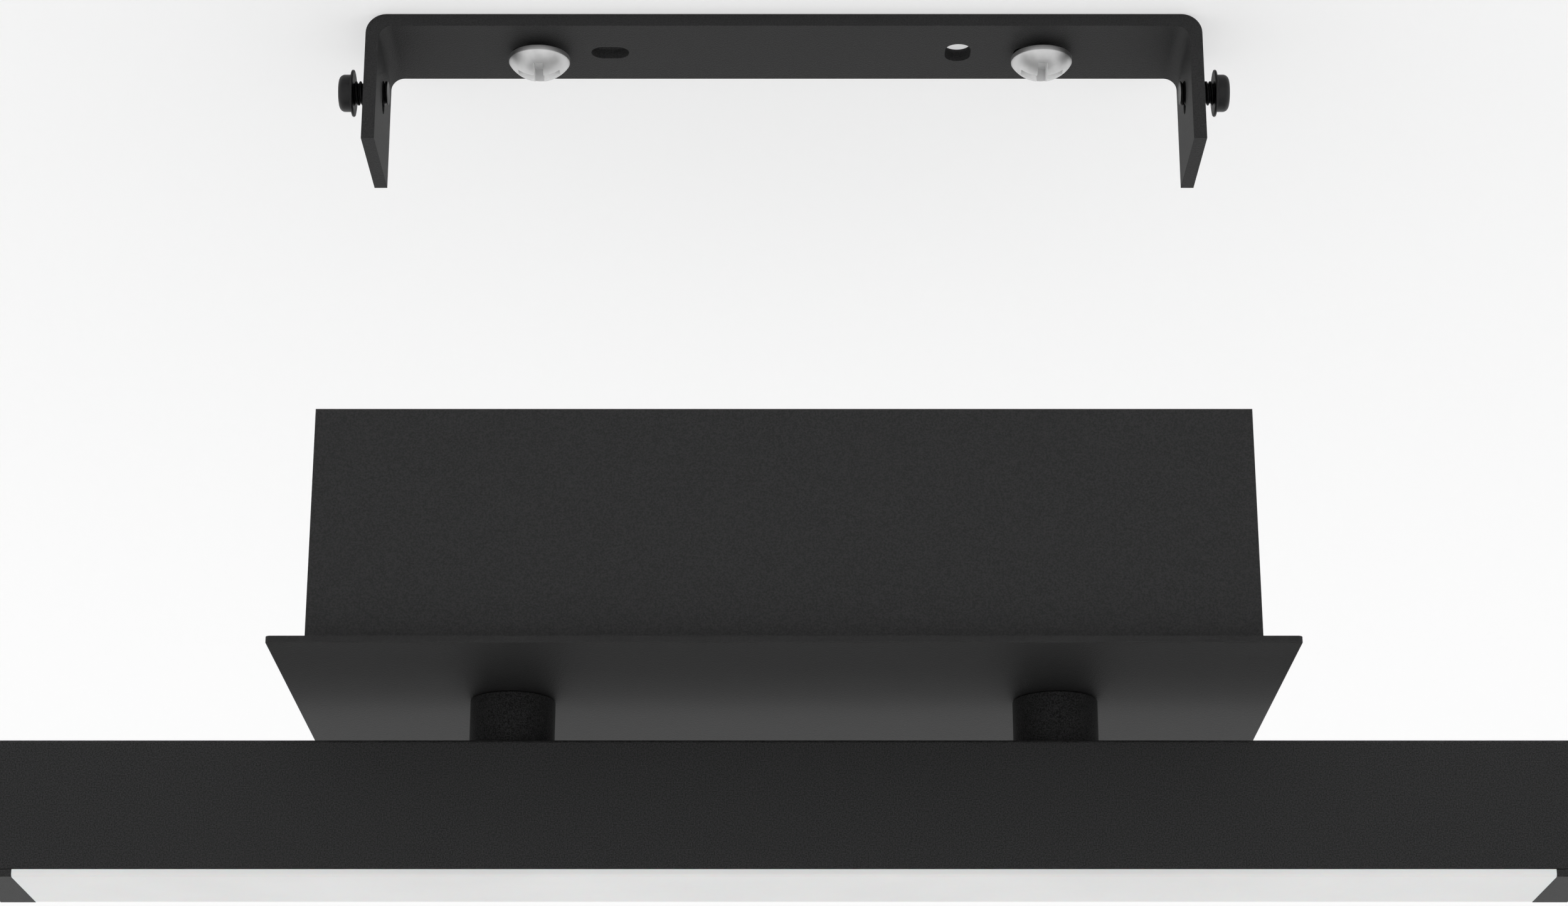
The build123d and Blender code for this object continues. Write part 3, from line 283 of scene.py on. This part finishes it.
def recess_cutter(name, span, width, depth, place, axis, cross=True):
    """A cross or slot to cut from a screw's head for its driver, a little narrower at its floor."""
    bm = bmesh.new()
    outline = []
    for quarter in range(0, 4, 1 if cross else 2):
        turn = Matrix.Rotation(math.radians(90 * quarter), 3, "Z")
        corners = [(span / 2, -width / 2), (span / 2, width / 2)]
        if cross:
            corners.append((width / 2, width / 2))
        outline += [turn @ Vector((x, y, 0)) for x, y in corners]
    top = [bm.verts.new(p + Vector((0, 0, depth))) for p in outline]
    floor = [bm.verts.new(p * (1 - RECESS_DRAFT) - Vector((0, 0, depth))) for p in outline]
    count = len(outline)
    for step in range(count):
        after = (step + 1) % count
        bm.faces.new((floor[step], floor[after], top[after], top[step]))
    bm.faces.new(top)
    bm.faces.new(reversed(floor))
    return placed(name, bm, place, axis)


def cut(piece, cutter):
    """Take the cutter's shape out of the piece, and clear the slivers that it leaves."""
    boolean = piece.modifiers.new("cut", "BOOLEAN")
    boolean.operation = "DIFFERENCE"
    boolean.solver = "EXACT"
    boolean.object = cutter
    baked(piece)
    bpy.data.objects.remove(cutter)
    bm = bmesh.new()
    bm.from_mesh(piece.data)
    bmesh.ops.triangulate(bm, faces=[face for face in bm.faces if len(face.verts) > MOST_CORNERS])
    bmesh.ops.dissolve_degenerate(bm, edges=bm.edges, dist=SLIVER)
    bm.to_mesh(piece.data)
    bm.free()
    return piece


def joined(name, pieces):
    """One piece made of several, which it uses up."""
    mesh = bpy.data.meshes.new(name)
    bm = bmesh.new()
    for piece in pieces:
        bm.from_mesh(piece.data)
        bpy.data.objects.remove(piece)
    bm.to_mesh(mesh)
    bm.free()
    return new_object(name, mesh)


def solids(node):
    """The low and high corner of each separate solid in a CAD node."""
    bm = bmesh.new()
    bm.from_mesh(frame["nodes"][node].data)
    bmesh.ops.remove_doubles(bm, verts=bm.verts, dist=WELD)
    left = set(bm.verts)
    boxes = []
    for first in bm.verts:
        if first not in left:
            continue
        left.remove(first)
        reached = [first]
        for vert in reached:
            for edge in vert.link_edges:
                other = edge.other_vert(vert)
                if other in left:
                    left.remove(other)
                    reached.append(other)
        columns = list(zip(*(vert.co for vert in reached)))
        corners = [Vector([limit(values) for values in columns]) for limit in (min, max)]
        boxes.append(corners)
    bm.free()
    return boxes


# ---------------------------------------------------------------- materials
class Surface:
    """A material with one Principled shader, and short calls for the nodes that feed it."""

    def __init__(self, name):
        self.material = bpy.data.materials.new(name)
        self.material.use_nodes = True
        self.nodes = self.material.node_tree.nodes
        self.links = self.material.node_tree.links
        self.shader = self.nodes["Principled BSDF"]
        self.place = self.node("ShaderNodeTexCoord").outputs["Object"]

    def node(self, kind, **values):
        """A new node, with values for its inputs and its own settings."""
        made = self.nodes.new(kind)
        for key, value in values.items():
            if key in made.inputs:
                made.inputs[key].default_value = value
            else:
                setattr(made, key, value)
        return made

    def set(self, **values):
        """Set values on the shader's own sockets."""
        for key, value in values.items():
            self.shader.inputs[key.replace("_", " ")].default_value = value
        return self

    def math(self, operation, *values):
        """A sum on numbers and patterns."""
        made = self.node("ShaderNodeMath", operation=operation)
        for socket, value in zip(made.inputs, values):
            if isinstance(value, float):
                socket.default_value = value
            else:
                self.links.new(value, socket)
        return made.outputs["Value"]

    def noise(self, scale, detail=3.0, roughness=0.55, stretch=None):
        """A noise pattern, of so many features to the metre."""
        made = self.node("ShaderNodeTexNoise", Scale=scale, Detail=detail, Roughness=roughness)
        source = self.place
        if stretch:
            mapping = self.node("ShaderNodeMapping")
            mapping.inputs["Scale"].default_value = stretch
            self.links.new(source, mapping.inputs["Vector"])
            source = mapping.outputs["Vector"]
        self.links.new(source, made.inputs["Vector"])
        return made.outputs["Fac"]

    def waves(self, scale, distortion, detail=2.0, direction="X"):
        """A pattern of bands across a direction, with about three to the metre for each unit of scale."""
        made = self.node("ShaderNodeTexWave", Scale=scale, Distortion=distortion, Detail=detail)
        made.bands_direction = direction
        self.links.new(self.place, made.inputs["Vector"])
        return made.outputs["Fac"]

    def blend(self, factor, low, high, bounds=(0.3, 0.7)):
        """A colour between two, following a pattern."""
        ramp = self.node("ShaderNodeValToRGB")
        ramp.color_ramp.elements[0].position = bounds[0]
        ramp.color_ramp.elements[1].position = bounds[1]
        ramp.color_ramp.elements[0].color = (*low, 1)
        ramp.color_ramp.elements[1].color = (*high, 1)
        self.links.new(factor, ramp.inputs["Fac"])
        self.links.new(ramp.outputs["Color"], self.shader.inputs["Base Color"])

    def spread(self, value, source, target):
        """A value that runs smoothly from one range to another."""
        made = self.node("ShaderNodeMapRange", interpolation_type="SMOOTHSTEP")
        for name, number in zip(("From Min", "From Max", "To Min", "To Max"), (*source, *target)):
            made.inputs[name].default_value = number
        self.links.new(value, made.inputs["Value"])
        return made.outputs["Result"]

    def vary_roughness(self, factor, low, high):
        """Roughness between two values, following a pattern."""
        spread = self.node("ShaderNodeMapRange")
        spread.inputs["To Min"].default_value = low
        spread.inputs["To Max"].default_value = high
        self.links.new(factor, spread.inputs["Value"])
        self.links.new(spread.outputs["Result"], self.shader.inputs["Roughness"])

    def bump(self, height, strength, depth=FINE_DEPTH):
        """Relief from a pattern."""
        made = self.node("ShaderNodeBump", Strength=strength, Distance=depth)
        self.links.new(height, made.inputs["Height"])
        self.links.new(made.outputs["Normal"], self.shader.inputs["Normal"])


def shade(colour, factor):
    """The colour, times a factor."""
    return tuple(channel * factor for channel in colour)


def coated(coat):
    """Black fine-textured powder coat, with the small pebbled grain that such a coat has."""
    grains, pits, crests, specular, least, most = COATS[coat]
    surface = Surface(f"{coat}_coat")
    grain = surface.noise(grains, detail=COAT_DETAIL, roughness=COAT_GRAIN_ROUGHNESS)
    surface.blend(grain, shade(NEUTRAL_BLACK, pits), shade(NEUTRAL_BLACK, crests), COAT_BOUNDS)
    surface.vary_roughness(grain, least, most)
    surface.bump(grain, COAT_RELIEF, COAT_DEPTH)
    surface.set(Specular_IOR_Level=specular)
    return surface.material


def black_screw():
    """Blackened steel of the side screws: darker and a little glossier than the coat."""
    surface = Surface("blackened_steel")
    mottle = surface.noise(900, detail=4.0)
    surface.blend(mottle, (0.006, 0.006, 0.0065), (0.011, 0.011, 0.0115))
    surface.vary_roughness(mottle, low=0.34, high=0.5)
    surface.bump(surface.noise(5000), strength=0.15)
    surface.set(Specular_IOR_Level=0.3)
    return surface.material


def thread_painted_shade():
    """The side screws' threads and tips, painted darker than the head: painted shade, for the shade between
    the thread's turns.
    """
    surface = Surface("thread_painted_shade")
    mottle = surface.noise(1200, detail=4.0)
    surface.blend(mottle, (0.002, 0.002, 0.0022), (0.006, 0.006, 0.0062))
    surface.vary_roughness(mottle, low=0.3, high=0.45)
    surface.bump(mottle, strength=0.2)
    surface.set(Specular_IOR_Level=0.1)
    return surface.material


def recess_painted_light():
    """The driver recess in the bright screws, paler and less metallic than the head: painted light, which
    lifts the shade inside the recess, with the marks of the stamp.
    """
    surface = Surface("recess_painted_light")
    marks = surface.noise(900, detail=3.0)
    surface.blend(marks, (0.9, 0.9, 0.9), (0.96, 0.96, 0.96))
    surface.vary_roughness(marks, low=0.4, high=0.5)
    surface.bump(marks, strength=0.15)
    surface.set(Specular_IOR_Level=0.8)
    return surface.material


def metal(name, colour, rough, stains_scale, brushed=None):
    """A bare or plated metal: slight stains in its colour, and fine working marks in its gloss."""
    surface = Surface(name)
    stains = surface.noise(stains_scale, detail=5.0)
    marks = surface.noise(stains_scale * METAL_MARKS, detail=3.0, stretch=brushed)
    surface.blend(stains, shade(colour, METAL_STAIN), colour)
    surface.vary_roughness(marks, *(rough * share for share in METAL_ROUGHNESS))
    surface.bump(marks, METAL_RELIEF)
    surface.set(Metallic=1.0)
    return surface.material


def moulded(name, colour, rough, grain_scale=2400, depth=FINE_DEPTH, soft=0.0):
    """A moulded or extruded plastic, with faint clouding and a fine skin. A soft one lets some light in."""
    surface = Surface(name)
    clouds = surface.noise(PLASTIC_CLOUDS, detail=3.0)
    grain = surface.noise(grain_scale, detail=2.0)
    surface.blend(clouds, shade(colour, PLASTIC_CLOUD), colour)
    surface.vary_roughness(grain, *(rough * share for share in PLASTIC_ROUGHNESS))
    surface.bump(grain, PLASTIC_RELIEF, depth)
    if soft:
        surface.set(Subsurface_Weight=soft, Subsurface_Scale=PLASTIC_GLOW_REACH)
    return surface.material


def circuit_board(name, mask, track):
    """Solder mask over copper tracks, which show through as slightly lighter lines."""
    surface = Surface(name)
    tracks = surface.waves(scale=160.0, distortion=6.0, detail=1.0)
    surface.blend(tracks, mask, track, bounds=(0.62, 0.72))
    surface.vary_roughness(surface.noise(500), low=0.28, high=0.42)
    surface.bump(tracks, strength=0.1)
    return surface.material


def earth_sheath():
    """Green sheath with a yellow stripe wound along it."""
    surface = Surface("earth_sheath")
    stripes = surface.waves(scale=110.0, distortion=0.0, direction="DIAGONAL")
    surface.blend(stripes, (0.04, 0.28, 0.05), (0.75, 0.62, 0.04), bounds=(0.55, 0.6))
    surface.vary_roughness(surface.noise(700), low=0.35, high=0.48)
    surface.bump(surface.noise(2500), strength=0.1)
    return surface.material


def winding_tape():
    """Yellow polyester tape round the transformer, with its turns showing."""
    surface = Surface("winding_tape")
    turns = surface.waves(scale=300.0, distortion=0.6, direction="Z")
    surface.blend(turns, (0.55, 0.38, 0.05), (0.78, 0.6, 0.12))
    surface.vary_roughness(surface.noise(400), low=0.2, high=0.38)
    surface.bump(turns, strength=0.2, depth=TAPE_DEPTH)
    return surface.material


# The first name in each entry is the record's material slot, or a part of a screw
finishes = {
    "black_coat": coated("sheet"),
    "black_screw": black_screw(),
    "screw_thread": thread_painted_shade(),
    "black_plastic": coated("moulded"),
    "bright_screw": metal("bright_zinc", (0.72, 0.72, 0.72), rough=0.44, stains_scale=500),
    # The screws' rim: a darker copy of their metal, painted shade for the darker surroundings that it
    # mirrors
    "screw_rim": metal("rim_painted_shade", (0.52, 0.52, 0.52), rough=0.4, stains_scale=500),
    "screw_recess": recess_painted_light(),
    "zinc_steel": metal("zinc_plate", (0.62, 0.64, 0.68), rough=0.34, stains_scale=350),
    "brass": metal("plain_brass", (0.78, 0.6, 0.3), rough=0.3, stains_scale=400),
    "aluminium": metal(
        "mill_aluminium", (0.78, 0.79, 0.8), rough=0.36, stains_scale=200, brushed=(0.05, 1, 1)
    ),
    "opal_plastic": moulded(
        "opal_diffuser", (0.815, 0.815, 0.81), rough=0.42, grain_scale=1500, depth=FINE_DEPTH / 2, soft=0.2
    ),
    "white_plastic": moulded("white_moulding", (0.76, 0.76, 0.74), rough=0.45),
    "clear_nylon": moulded("natural_nylon", (0.72, 0.71, 0.66), rough=0.5, soft=0.3),
    "white_board": circuit_board("white_solder_mask", (0.78, 0.78, 0.77), (0.84, 0.84, 0.83)),
    "green_board": circuit_board("green_solder_mask", (0.03, 0.14, 0.06), (0.06, 0.24, 0.1)),
    "phosphor": moulded("phosphor_gel", (0.85, 0.7, 0.22), rough=0.3, grain_scale=3000),
    "winding_tape": winding_tape(),
    "capacitor_sleeve": moulded("capacitor_sleeve", (0.02, 0.03, 0.07), rough=0.25, grain_scale=1800),
    "brown_sheath": moulded("brown_sheath", (0.17, 0.07, 0.03), rough=0.4),
    "blue_sheath": moulded("blue_sheath", (0.03, 0.13, 0.45), rough=0.4),
    "earth_sheath": earth_sheath(),
    "red_sheath": moulded("red_sheath", (0.5, 0.025, 0.02), rough=0.4),
    "black_sheath": moulded("black_sheath", (0.018, 0.018, 0.018), rough=0.42),
}
# Darker copies of the black coat, painted shade, for the cover plate, the standoffs and the beam
coats = {coat: coated(coat) for coat in ("plate", "turned", "extruded")}
for subpart in frame["record"]["subparts"]:
    node = frame["nodes"][subpart["node"]]
    node.data.materials.clear()
    finish = finishes[subpart["material_slot"]]
    if subpart["node"] in SHADED_COAT_OF_NODE:
        finish = coats[SHADED_COAT_OF_NODE[subpart["node"]]]
    node.data.materials.append(finish)


def finish_piece(piece, slot_name, body, node):
    """Give a modelled piece its finish and its body, and hide the CAD node that it stands for."""
    piece.data.materials.clear()
    piece.data.materials.append(finishes[slot_name])
    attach(piece, body)
    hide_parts(node)


def part_finish(piece, finish, chosen):
    """Give another finish to the faces whose middle the test picks."""
    piece.data.materials.append(finishes[finish])
    for face in piece.data.polygons:
        if chosen(face.center):
            face.material_index = len(piece.data.materials) - 1


# ---------------------------------------------------------------- screws with their threads
def side_screw(side, outward):
    """Flanged screw in a bracket arm: threaded shank, thin flange, rounded head with a cross recess."""
    node = f"side_screw_{side}"
    low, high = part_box(node)
    axis = Vector((outward, 0, 0))
    tip = low.x if outward > 0 else high.x
    length = high.x - low.x
    flange_r = (high.z - low.z) / 2
    head_start = length - SIDE_HEAD
    flange_start = head_start - SIDE_FLANGE
    core_r = SIDE_SHANK_R - SIDE_THREAD_DEPTH
    helix = thread(core_r, SIDE_SHANK_R, SIDE_PITCH, half_ridge=SIDE_RIDGE, crest_share=SIDE_CREST)
    rows = [(0, SIDE_SHANK_R - SIDE_TIP_EDGE)]
    # The flange's face is dished, so the thread runs a little way into it
    thread_end = flange_start + SIDE_FLANGE_DISH
    count = int(thread_end / SIDE_PITCH * THREAD_STEPS)
    rows += [(thread_end * step / count, helix) for step in range(1, count)]
    rows.append((thread_end, core_r))
    rows += [(flange_start + along, flange_r - inset) for along, inset in SIDE_FLANGE_EDGE]
    rows += [(head_start - along, flange_r - inset) for along, inset in reversed(SIDE_FLANGE_EDGE)]
    rows += [(head_start, SIDE_HEAD_R + SIDE_HEAD_FOOT), (head_start + SIDE_HEAD_FOOT, SIDE_HEAD_R)]
    for step in range(HEAD_STEPS + 1):
        angle = math.radians(90 * step / HEAD_STEPS)
        reach = SIDE_HEAD_ROUND * (1 - math.cos(angle))
        rise = SIDE_HEAD_ROUND * math.sin(angle)
        rows.append((length - SIDE_HEAD_ROUND + rise, SIDE_HEAD_R - reach))
    centre_z = (low.z + high.z) / 2
    piece = turned(node + ".threaded", rows, Vector((tip, 0, centre_z)), axis)
    head_face = Vector((tip + outward * length, 0, centre_z))
    cut(piece, recess_cutter("recess", *SIDE_RECESS, head_face, axis))
    finish_piece(smooth(piece), "black_screw", node, node)

    def on_shank(place):
        along = (place.x - tip) * outward
        return along < thread_end and math.hypot(place.y, place.z - centre_z) < SIDE_SHANK_R

    # Painted shade: the thread and the tip take the darker finish, for the shade between the turns
    part_finish(piece, "screw_thread", on_shank)


def ceiling_screw(side):
    """Truss-head wood screw: wide domed head, deep cross recess, thin neck, coarse thread, point."""
    node = f"ceiling_screw_{side}"
    low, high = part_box(node)
    centre_x = (low.x + high.x) / 2
    head_r = (high.x - low.x) / 2
    dome_r = (head_r**2 + WOOD_DOME**2) / (2 * WOOD_DOME)
    rows = []
    for step in range(1, DOME_STEPS):
        angle = math.asin(head_r / dome_r) * step / DOME_STEPS
        rows.append((dome_r * (1 - math.cos(angle)), dome_r * math.sin(angle)))
    rim_top = WOOD_DOME + WOOD_RIM
    top = high.z - low.z
    thread_start = WOOD_NECK_ROUND - low.z
    rows += [
        (WOOD_DOME, head_r - WOOD_DOME_EDGE),
        (WOOD_DOME + WOOD_RIM_EDGE, head_r),
        (rim_top - WOOD_RIM_EDGE, head_r),
        (rim_top, head_r - WOOD_RIM_EDGE),
        (rim_top, WOOD_NECK_R + WOOD_NECK_FLARE),
        (rim_top + WOOD_NECK_ROUND, WOOD_NECK_R),
        (thread_start, WOOD_NECK_R),
    ]
    fade = (thread_start, thread_start + WOOD_PITCH)
    helix = thread(WOOD_CORE_R, WOOD_THREAD_R, WOOD_PITCH, half_ridge=WOOD_RIDGE, fade=fade)
    run = top - WOOD_POINT - thread_start
    count = int(run / WOOD_PITCH * WOOD_THREAD_STEPS)
    rows += [(thread_start + run * step / count, helix) for step in range(1, count)]

    def tapered(angle, height):
        left = max(0.0, (top - height) / WOOD_POINT)
        return helix(angle, height) * left + WOOD_POINT_R

    rows += [(top - WOOD_POINT + WOOD_POINT * step / POINT_STEPS, tapered) for step in range(POINT_STEPS)]
    rows.append((top, WOOD_TIP_R))
    apex = Vector((centre_x, 0, low.z))
    piece = turned(node + ".threaded", rows, apex, Vector((0, 0, 1)))
    cut(piece, recess_cutter("recess", *WOOD_RECESS, apex, Vector((0, 0, -1))))
    finish_piece(smooth(piece, DOME_SMOOTH_ANGLE), "bright_screw", "bracket", node)
    dome_centre = apex + Vector((0, 0, dome_r))

    def in_recess(place):
        inside = (place - dome_centre).length < WOOD_RECESS_REACH * dome_r
        return inside and place.z < low.z + WOOD_RECESS[2] + WOOD_RIM_EDGE

    def on_rim(place):
        outside = math.hypot(place.x - centre_x, place.y) > head_r - 2 * WOOD_RIM_EDGE
        return outside and low.z + WOOD_DOME < place.z < low.z + rim_top

    # Painted light: the recess takes a paler finish, which lifts the shade inside it
    part_finish(piece, "screw_recess", in_recess)
    # Painted shade: the rim takes a darker copy of the head's metal, for the darker surroundings that it
    # mirrors
    part_finish(piece, "screw_rim", on_rim)


def cap_screw(index, low, high):
    """Countersunk self-tapping screw in an end cap, flush with the cap's face."""
    outward = 1 if high.x > 0 else -1
    axis = Vector((outward, 0, 0))
    centre_y, centre_z = (low.y + high.y) / 2, (low.z + high.z) / 2
    tip = Vector((low.x if outward > 0 else high.x, centre_y, centre_z))
    face = Vector((high.x if outward > 0 else low.x, centre_y, centre_z))
    length = high.x - low.x
    head_r = (high.z - low.z) / 2
    neck = length - (head_r - CAP_SHANK_R)
    helix = thread(CAP_CORE_R, CAP_SHANK_R, CAP_PITCH, half_ridge=CAP_RIDGE)

    def pointed(angle, height):
        return helix(angle, height) * min(1, height / CAP_POINT)

    rows = [(0, CAP_TIP_R)]
    count = int(neck / CAP_PITCH * ROD_STEPS)
    rows += [(neck * step / count, pointed) for step in range(1, count)]
    rows += [(neck, CAP_CORE_R), (neck, CAP_SHANK_R)]
    rows += [(length - CAP_HEAD_EDGE, head_r - CAP_HEAD_EDGE / 2), (length, head_r - CAP_HEAD_EDGE)]
    screw = turned(f"cap_screw_{index}", rows, tip, axis)
    return cut(screw, recess_cutter("recess", *CAP_RECESS, face, axis))


def terminal_screw(index, low, high):
    """Slotted screw of a terminal."""
    up = Vector((0, 0, 1))
    foot = Vector(((low.x + high.x) / 2, (low.y + high.y) / 2, low.z))
    length = high.z - low.z
    radius = (high.x - low.x) / 2
    rows = [(0, radius - TERMINAL_EDGE), (TERMINAL_EDGE, radius)]
    rows += [(length - TERMINAL_EDGE, radius), (length, radius - TERMINAL_EDGE)]
    screw = turned(f"terminal_screw_{index}", rows, foot, up)
    return cut(screw, recess_cutter("slot", *TERMINAL_SLOT, foot + up * length, up, cross=False))


def rod(name, low, high, pitch, depth, bore_r=None):
    """A threaded rod that stands upright, with its ends chamfered, or a tube if it has a bore."""
    length = high.z - low.z
    major = (high.x - low.x) / 2
    foot = Vector(((low.x + high.x) / 2, (low.y + high.y) / 2, low.z))
    helix = thread(major - depth, major, pitch, half_ridge=ROD_RIDGE)

    def radius(angle, height):
        near = min(height, length - height)
        return min(helix(angle, height), major - depth - ROD_EDGE + near)

    count = int(length / pitch * ROD_STEPS)
    rows = [(length * step / count, radius) for step in range(count + 1)]
    if bore_r:
        rows += [(length, bore_r), (0, bore_r)]
    return turned(name, rows, foot, Vector((0, 0, 1)), bored=bool(bore_r))


def floor_stud(index, low, high):
    """Threaded stud that stands on the canopy's floor."""
    return rod(f"stud_{index}", low, high, *STUD_THREAD)


def small_parts(node, slot_name, make):
    """One detailed piece in place of a CAD node that holds several alike."""
    made = [make(index, low, high) for index, (low, high) in enumerate(solids(node))]
    finish_piece(smooth(joined(node + ".detailed", made)), slot_name, "lamp", node)


side_screw("left", -1)
side_screw("right", 1)
ceiling_screw("left")
ceiling_screw("right")
small_parts("end_cap_screws", "black_screw", cap_screw)
small_parts("terminal_screws", "zinc_steel", terminal_screw)
small_parts("floor_studs", "zinc_steel", floor_stud)
for tube in ("threaded_tube_left", "threaded_tube_right"):
    low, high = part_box(tube)
    piece = rod(tube + ".threaded", low, high, *TUBE_THREAD, bore_r=TUBE_BORE_R)
    finish_piece(smooth(piece), "zinc_steel", "lamp", tube)


# ---------------------------------------------------------------- stage
def away_from_middle(surface):
    """The distance from the middle of the scene."""
    made = surface.node("ShaderNodeVectorMath", operation="LENGTH")
    surface.links.new(surface.place, made.inputs["Vector"])
    return made.outputs["Value"]


def partly_plain(surface, share):
    """The surface's paint, with plain white for a share of what is seen of it."""
    path = surface.node("ShaderNodeLightPath")
    plain = surface.node("ShaderNodeEmission", Strength=1.0)
    paint = surface.node("ShaderNodeMixShader")
    seen_plain = surface.math("MULTIPLY", path.outputs["Is Camera Ray"], share)
    surface.links.new(seen_plain, paint.inputs["Fac"])
    surface.links.new(surface.shader.outputs["BSDF"], paint.inputs[1])
    surface.links.new(plain.outputs["Emission"], paint.inputs[2])
    return paint.outputs["Shader"]


def clear_over(surface, corner, rim, reach):
    """One where a ray with a length in the reach meets the surface inside a rectangle, or else nought.
    The rectangle lies round the middle and ends the rim's width short of the corner."""
    along = surface.node("ShaderNodeSeparateXYZ")
    surface.links.new(surface.place, along.inputs["Vector"])
    length = surface.node("ShaderNodeLightPath").outputs["Ray Length"]
    least, most = reach
    long_enough = surface.math("GREATER_THAN", length, least)
    over = surface.math("MULTIPLY", long_enough, surface.math("LESS_THAN", length, most))
    for axis, half in (("X", corner.x), ("Y", corner.y)):
        distance = surface.math("ABSOLUTE", along.outputs[axis])
        over = surface.math("MULTIPLY", over, surface.math("LESS_THAN", distance, half - rim))
    return over


def stage_sheet(name, surface, span, height, facing):
    """A level square of the stage, facing up or down."""
    half = span / 2
    corners = [(-half, -half, height), (half, -half, height), (half, half, height), (-half, half, height)]
    mesh = bpy.data.meshes.new(name)
    mesh.from_pydata(corners, [], [(0, 1, 2, 3) if facing == "up" else (3, 2, 1, 0)])
    mesh.materials.append(surface.material)
    new_object(name, mesh)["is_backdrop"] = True


def ceiling():
    """White ceiling over the bracket. It is clear from above, so the lamp can be looked at from there."""
    surface = Surface("ceiling_paint")
    surface.set(Base_Color=(*[CEILING_WHITE] * 3, 1), Roughness=CEILING_ROUGHNESS)
    surface.set(Specular_IOR_Level=STAGE_SPECULAR)
    # Painted light: its white is plainer away from the bracket, a glow that brightens it and thins the
    # bracket's shadow on it, and quite plain at its rim
    away = away_from_middle(surface)
    near = surface.spread(away, CEILING_GLOW_FADE, CEILING_PAINTED_GLOW)
    rim = surface.spread(away, CEILING_RIM_FADE, (0.0, 1.0))
    paint = partly_plain(surface, surface.math("MAXIMUM", near, rim))
    # It is clear to short rays over the bracket, which light the bracket's top, and to longer ones over the
    # canopy, which light its inside when the lamp is lifted
    bracket = clear_over(surface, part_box("ceiling_bracket")[1], BRACKET_RIM, BRACKET_REACH)
    canopy = clear_over(surface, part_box("canopy_channel")[1], CANOPY_RIM, CANOPY_REACH)
    over = surface.math("MAXIMUM", bracket, canopy)
    side = surface.node("ShaderNodeNewGeometry")
    clear = surface.node("ShaderNodeBsdfTransparent")
    mix = surface.node("ShaderNodeMixShader")
    surface.links.new(surface.math("MAXIMUM", over, side.outputs["Backfacing"]), mix.inputs["Fac"])
    surface.links.new(paint, mix.inputs[1])
    surface.links.new(clear.outputs["BSDF"], mix.inputs[2])
    surface.links.new(mix.outputs["Shader"], surface.nodes["Material Output"].inputs["Surface"])
    stage_sheet("ceiling", surface, CEILING_SPAN, CEILING_GAP, "down")


def pale_floor():
    """Plain pale floor well below the lamp."""
    surface = Surface("floor_paint")
    surface.set(Base_Color=(*[FLOOR_WHITE] * 3, 1), Roughness=FLOOR_ROUGHNESS)
    surface.set(Specular_IOR_Level=STAGE_SPECULAR)
    rim = surface.spread(away_from_middle(surface), FLOOR_RIM_FADE, (0.0, 1.0))
    paint = partly_plain(surface, rim)
    surface.links.new(paint, surface.nodes["Material Output"].inputs["Surface"])
    stage_sheet("pale_floor", surface, FLOOR_SPAN, -FLOOR_DEPTH, "up")


def world_light(strength):
    """White all round: plain where it is seen, mirrored or seen through, and a set strength as light."""
    world = bpy.data.worlds.new("studio")
    world.use_nodes = True
    nodes, links = world.node_tree.nodes, world.node_tree.links
    background = nodes["Background"]
    background.inputs["Color"].default_value = (1, 1, 1, 1)
    path = nodes.new("ShaderNodeLightPath")
    plain = path.outputs["Is Camera Ray"]
    for kind in ("Is Glossy Ray", "Is Transmission Ray"):
        either = nodes.new("ShaderNodeMath")
        either.operation = "MAXIMUM"
        links.new(plain, either.inputs[0])
        links.new(path.outputs[kind], either.inputs[1])
        plain = either.outputs["Value"]
    spread = nodes.new("ShaderNodeMapRange")
    spread.inputs["To Min"].default_value = strength
    spread.inputs["To Max"].default_value = 1.0
    links.new(plain, spread.inputs["Value"])
    links.new(spread.outputs["Result"], background.inputs["Strength"])
    bpy.context.scene.world = world


def camera():
    """The photograph's camera."""
    made = bpy.data.cameras.new("camera")
    made.sensor_width = CAMERA_SENSOR
    made.lens = CAMERA_LENS
    made.clip_start, made.clip_end = CAMERA_CLIP
    seen = bpy.data.objects.new("camera", made)
    seen.location = CAMERA_PLACE
    # With no turn it looks straight down, and with 90 degrees it looks level
    seen.rotation_euler = (math.radians(90 + CAMERA_PITCH), 0, 0)
    bpy.context.scene.collection.objects.link(seen)
    bpy.context.scene.camera = seen


ceiling()
pale_floor()
world_light(WORLD_STRENGTH)
camera()
bpy.context.scene.view_settings.view_transform = "Standard"

low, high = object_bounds()
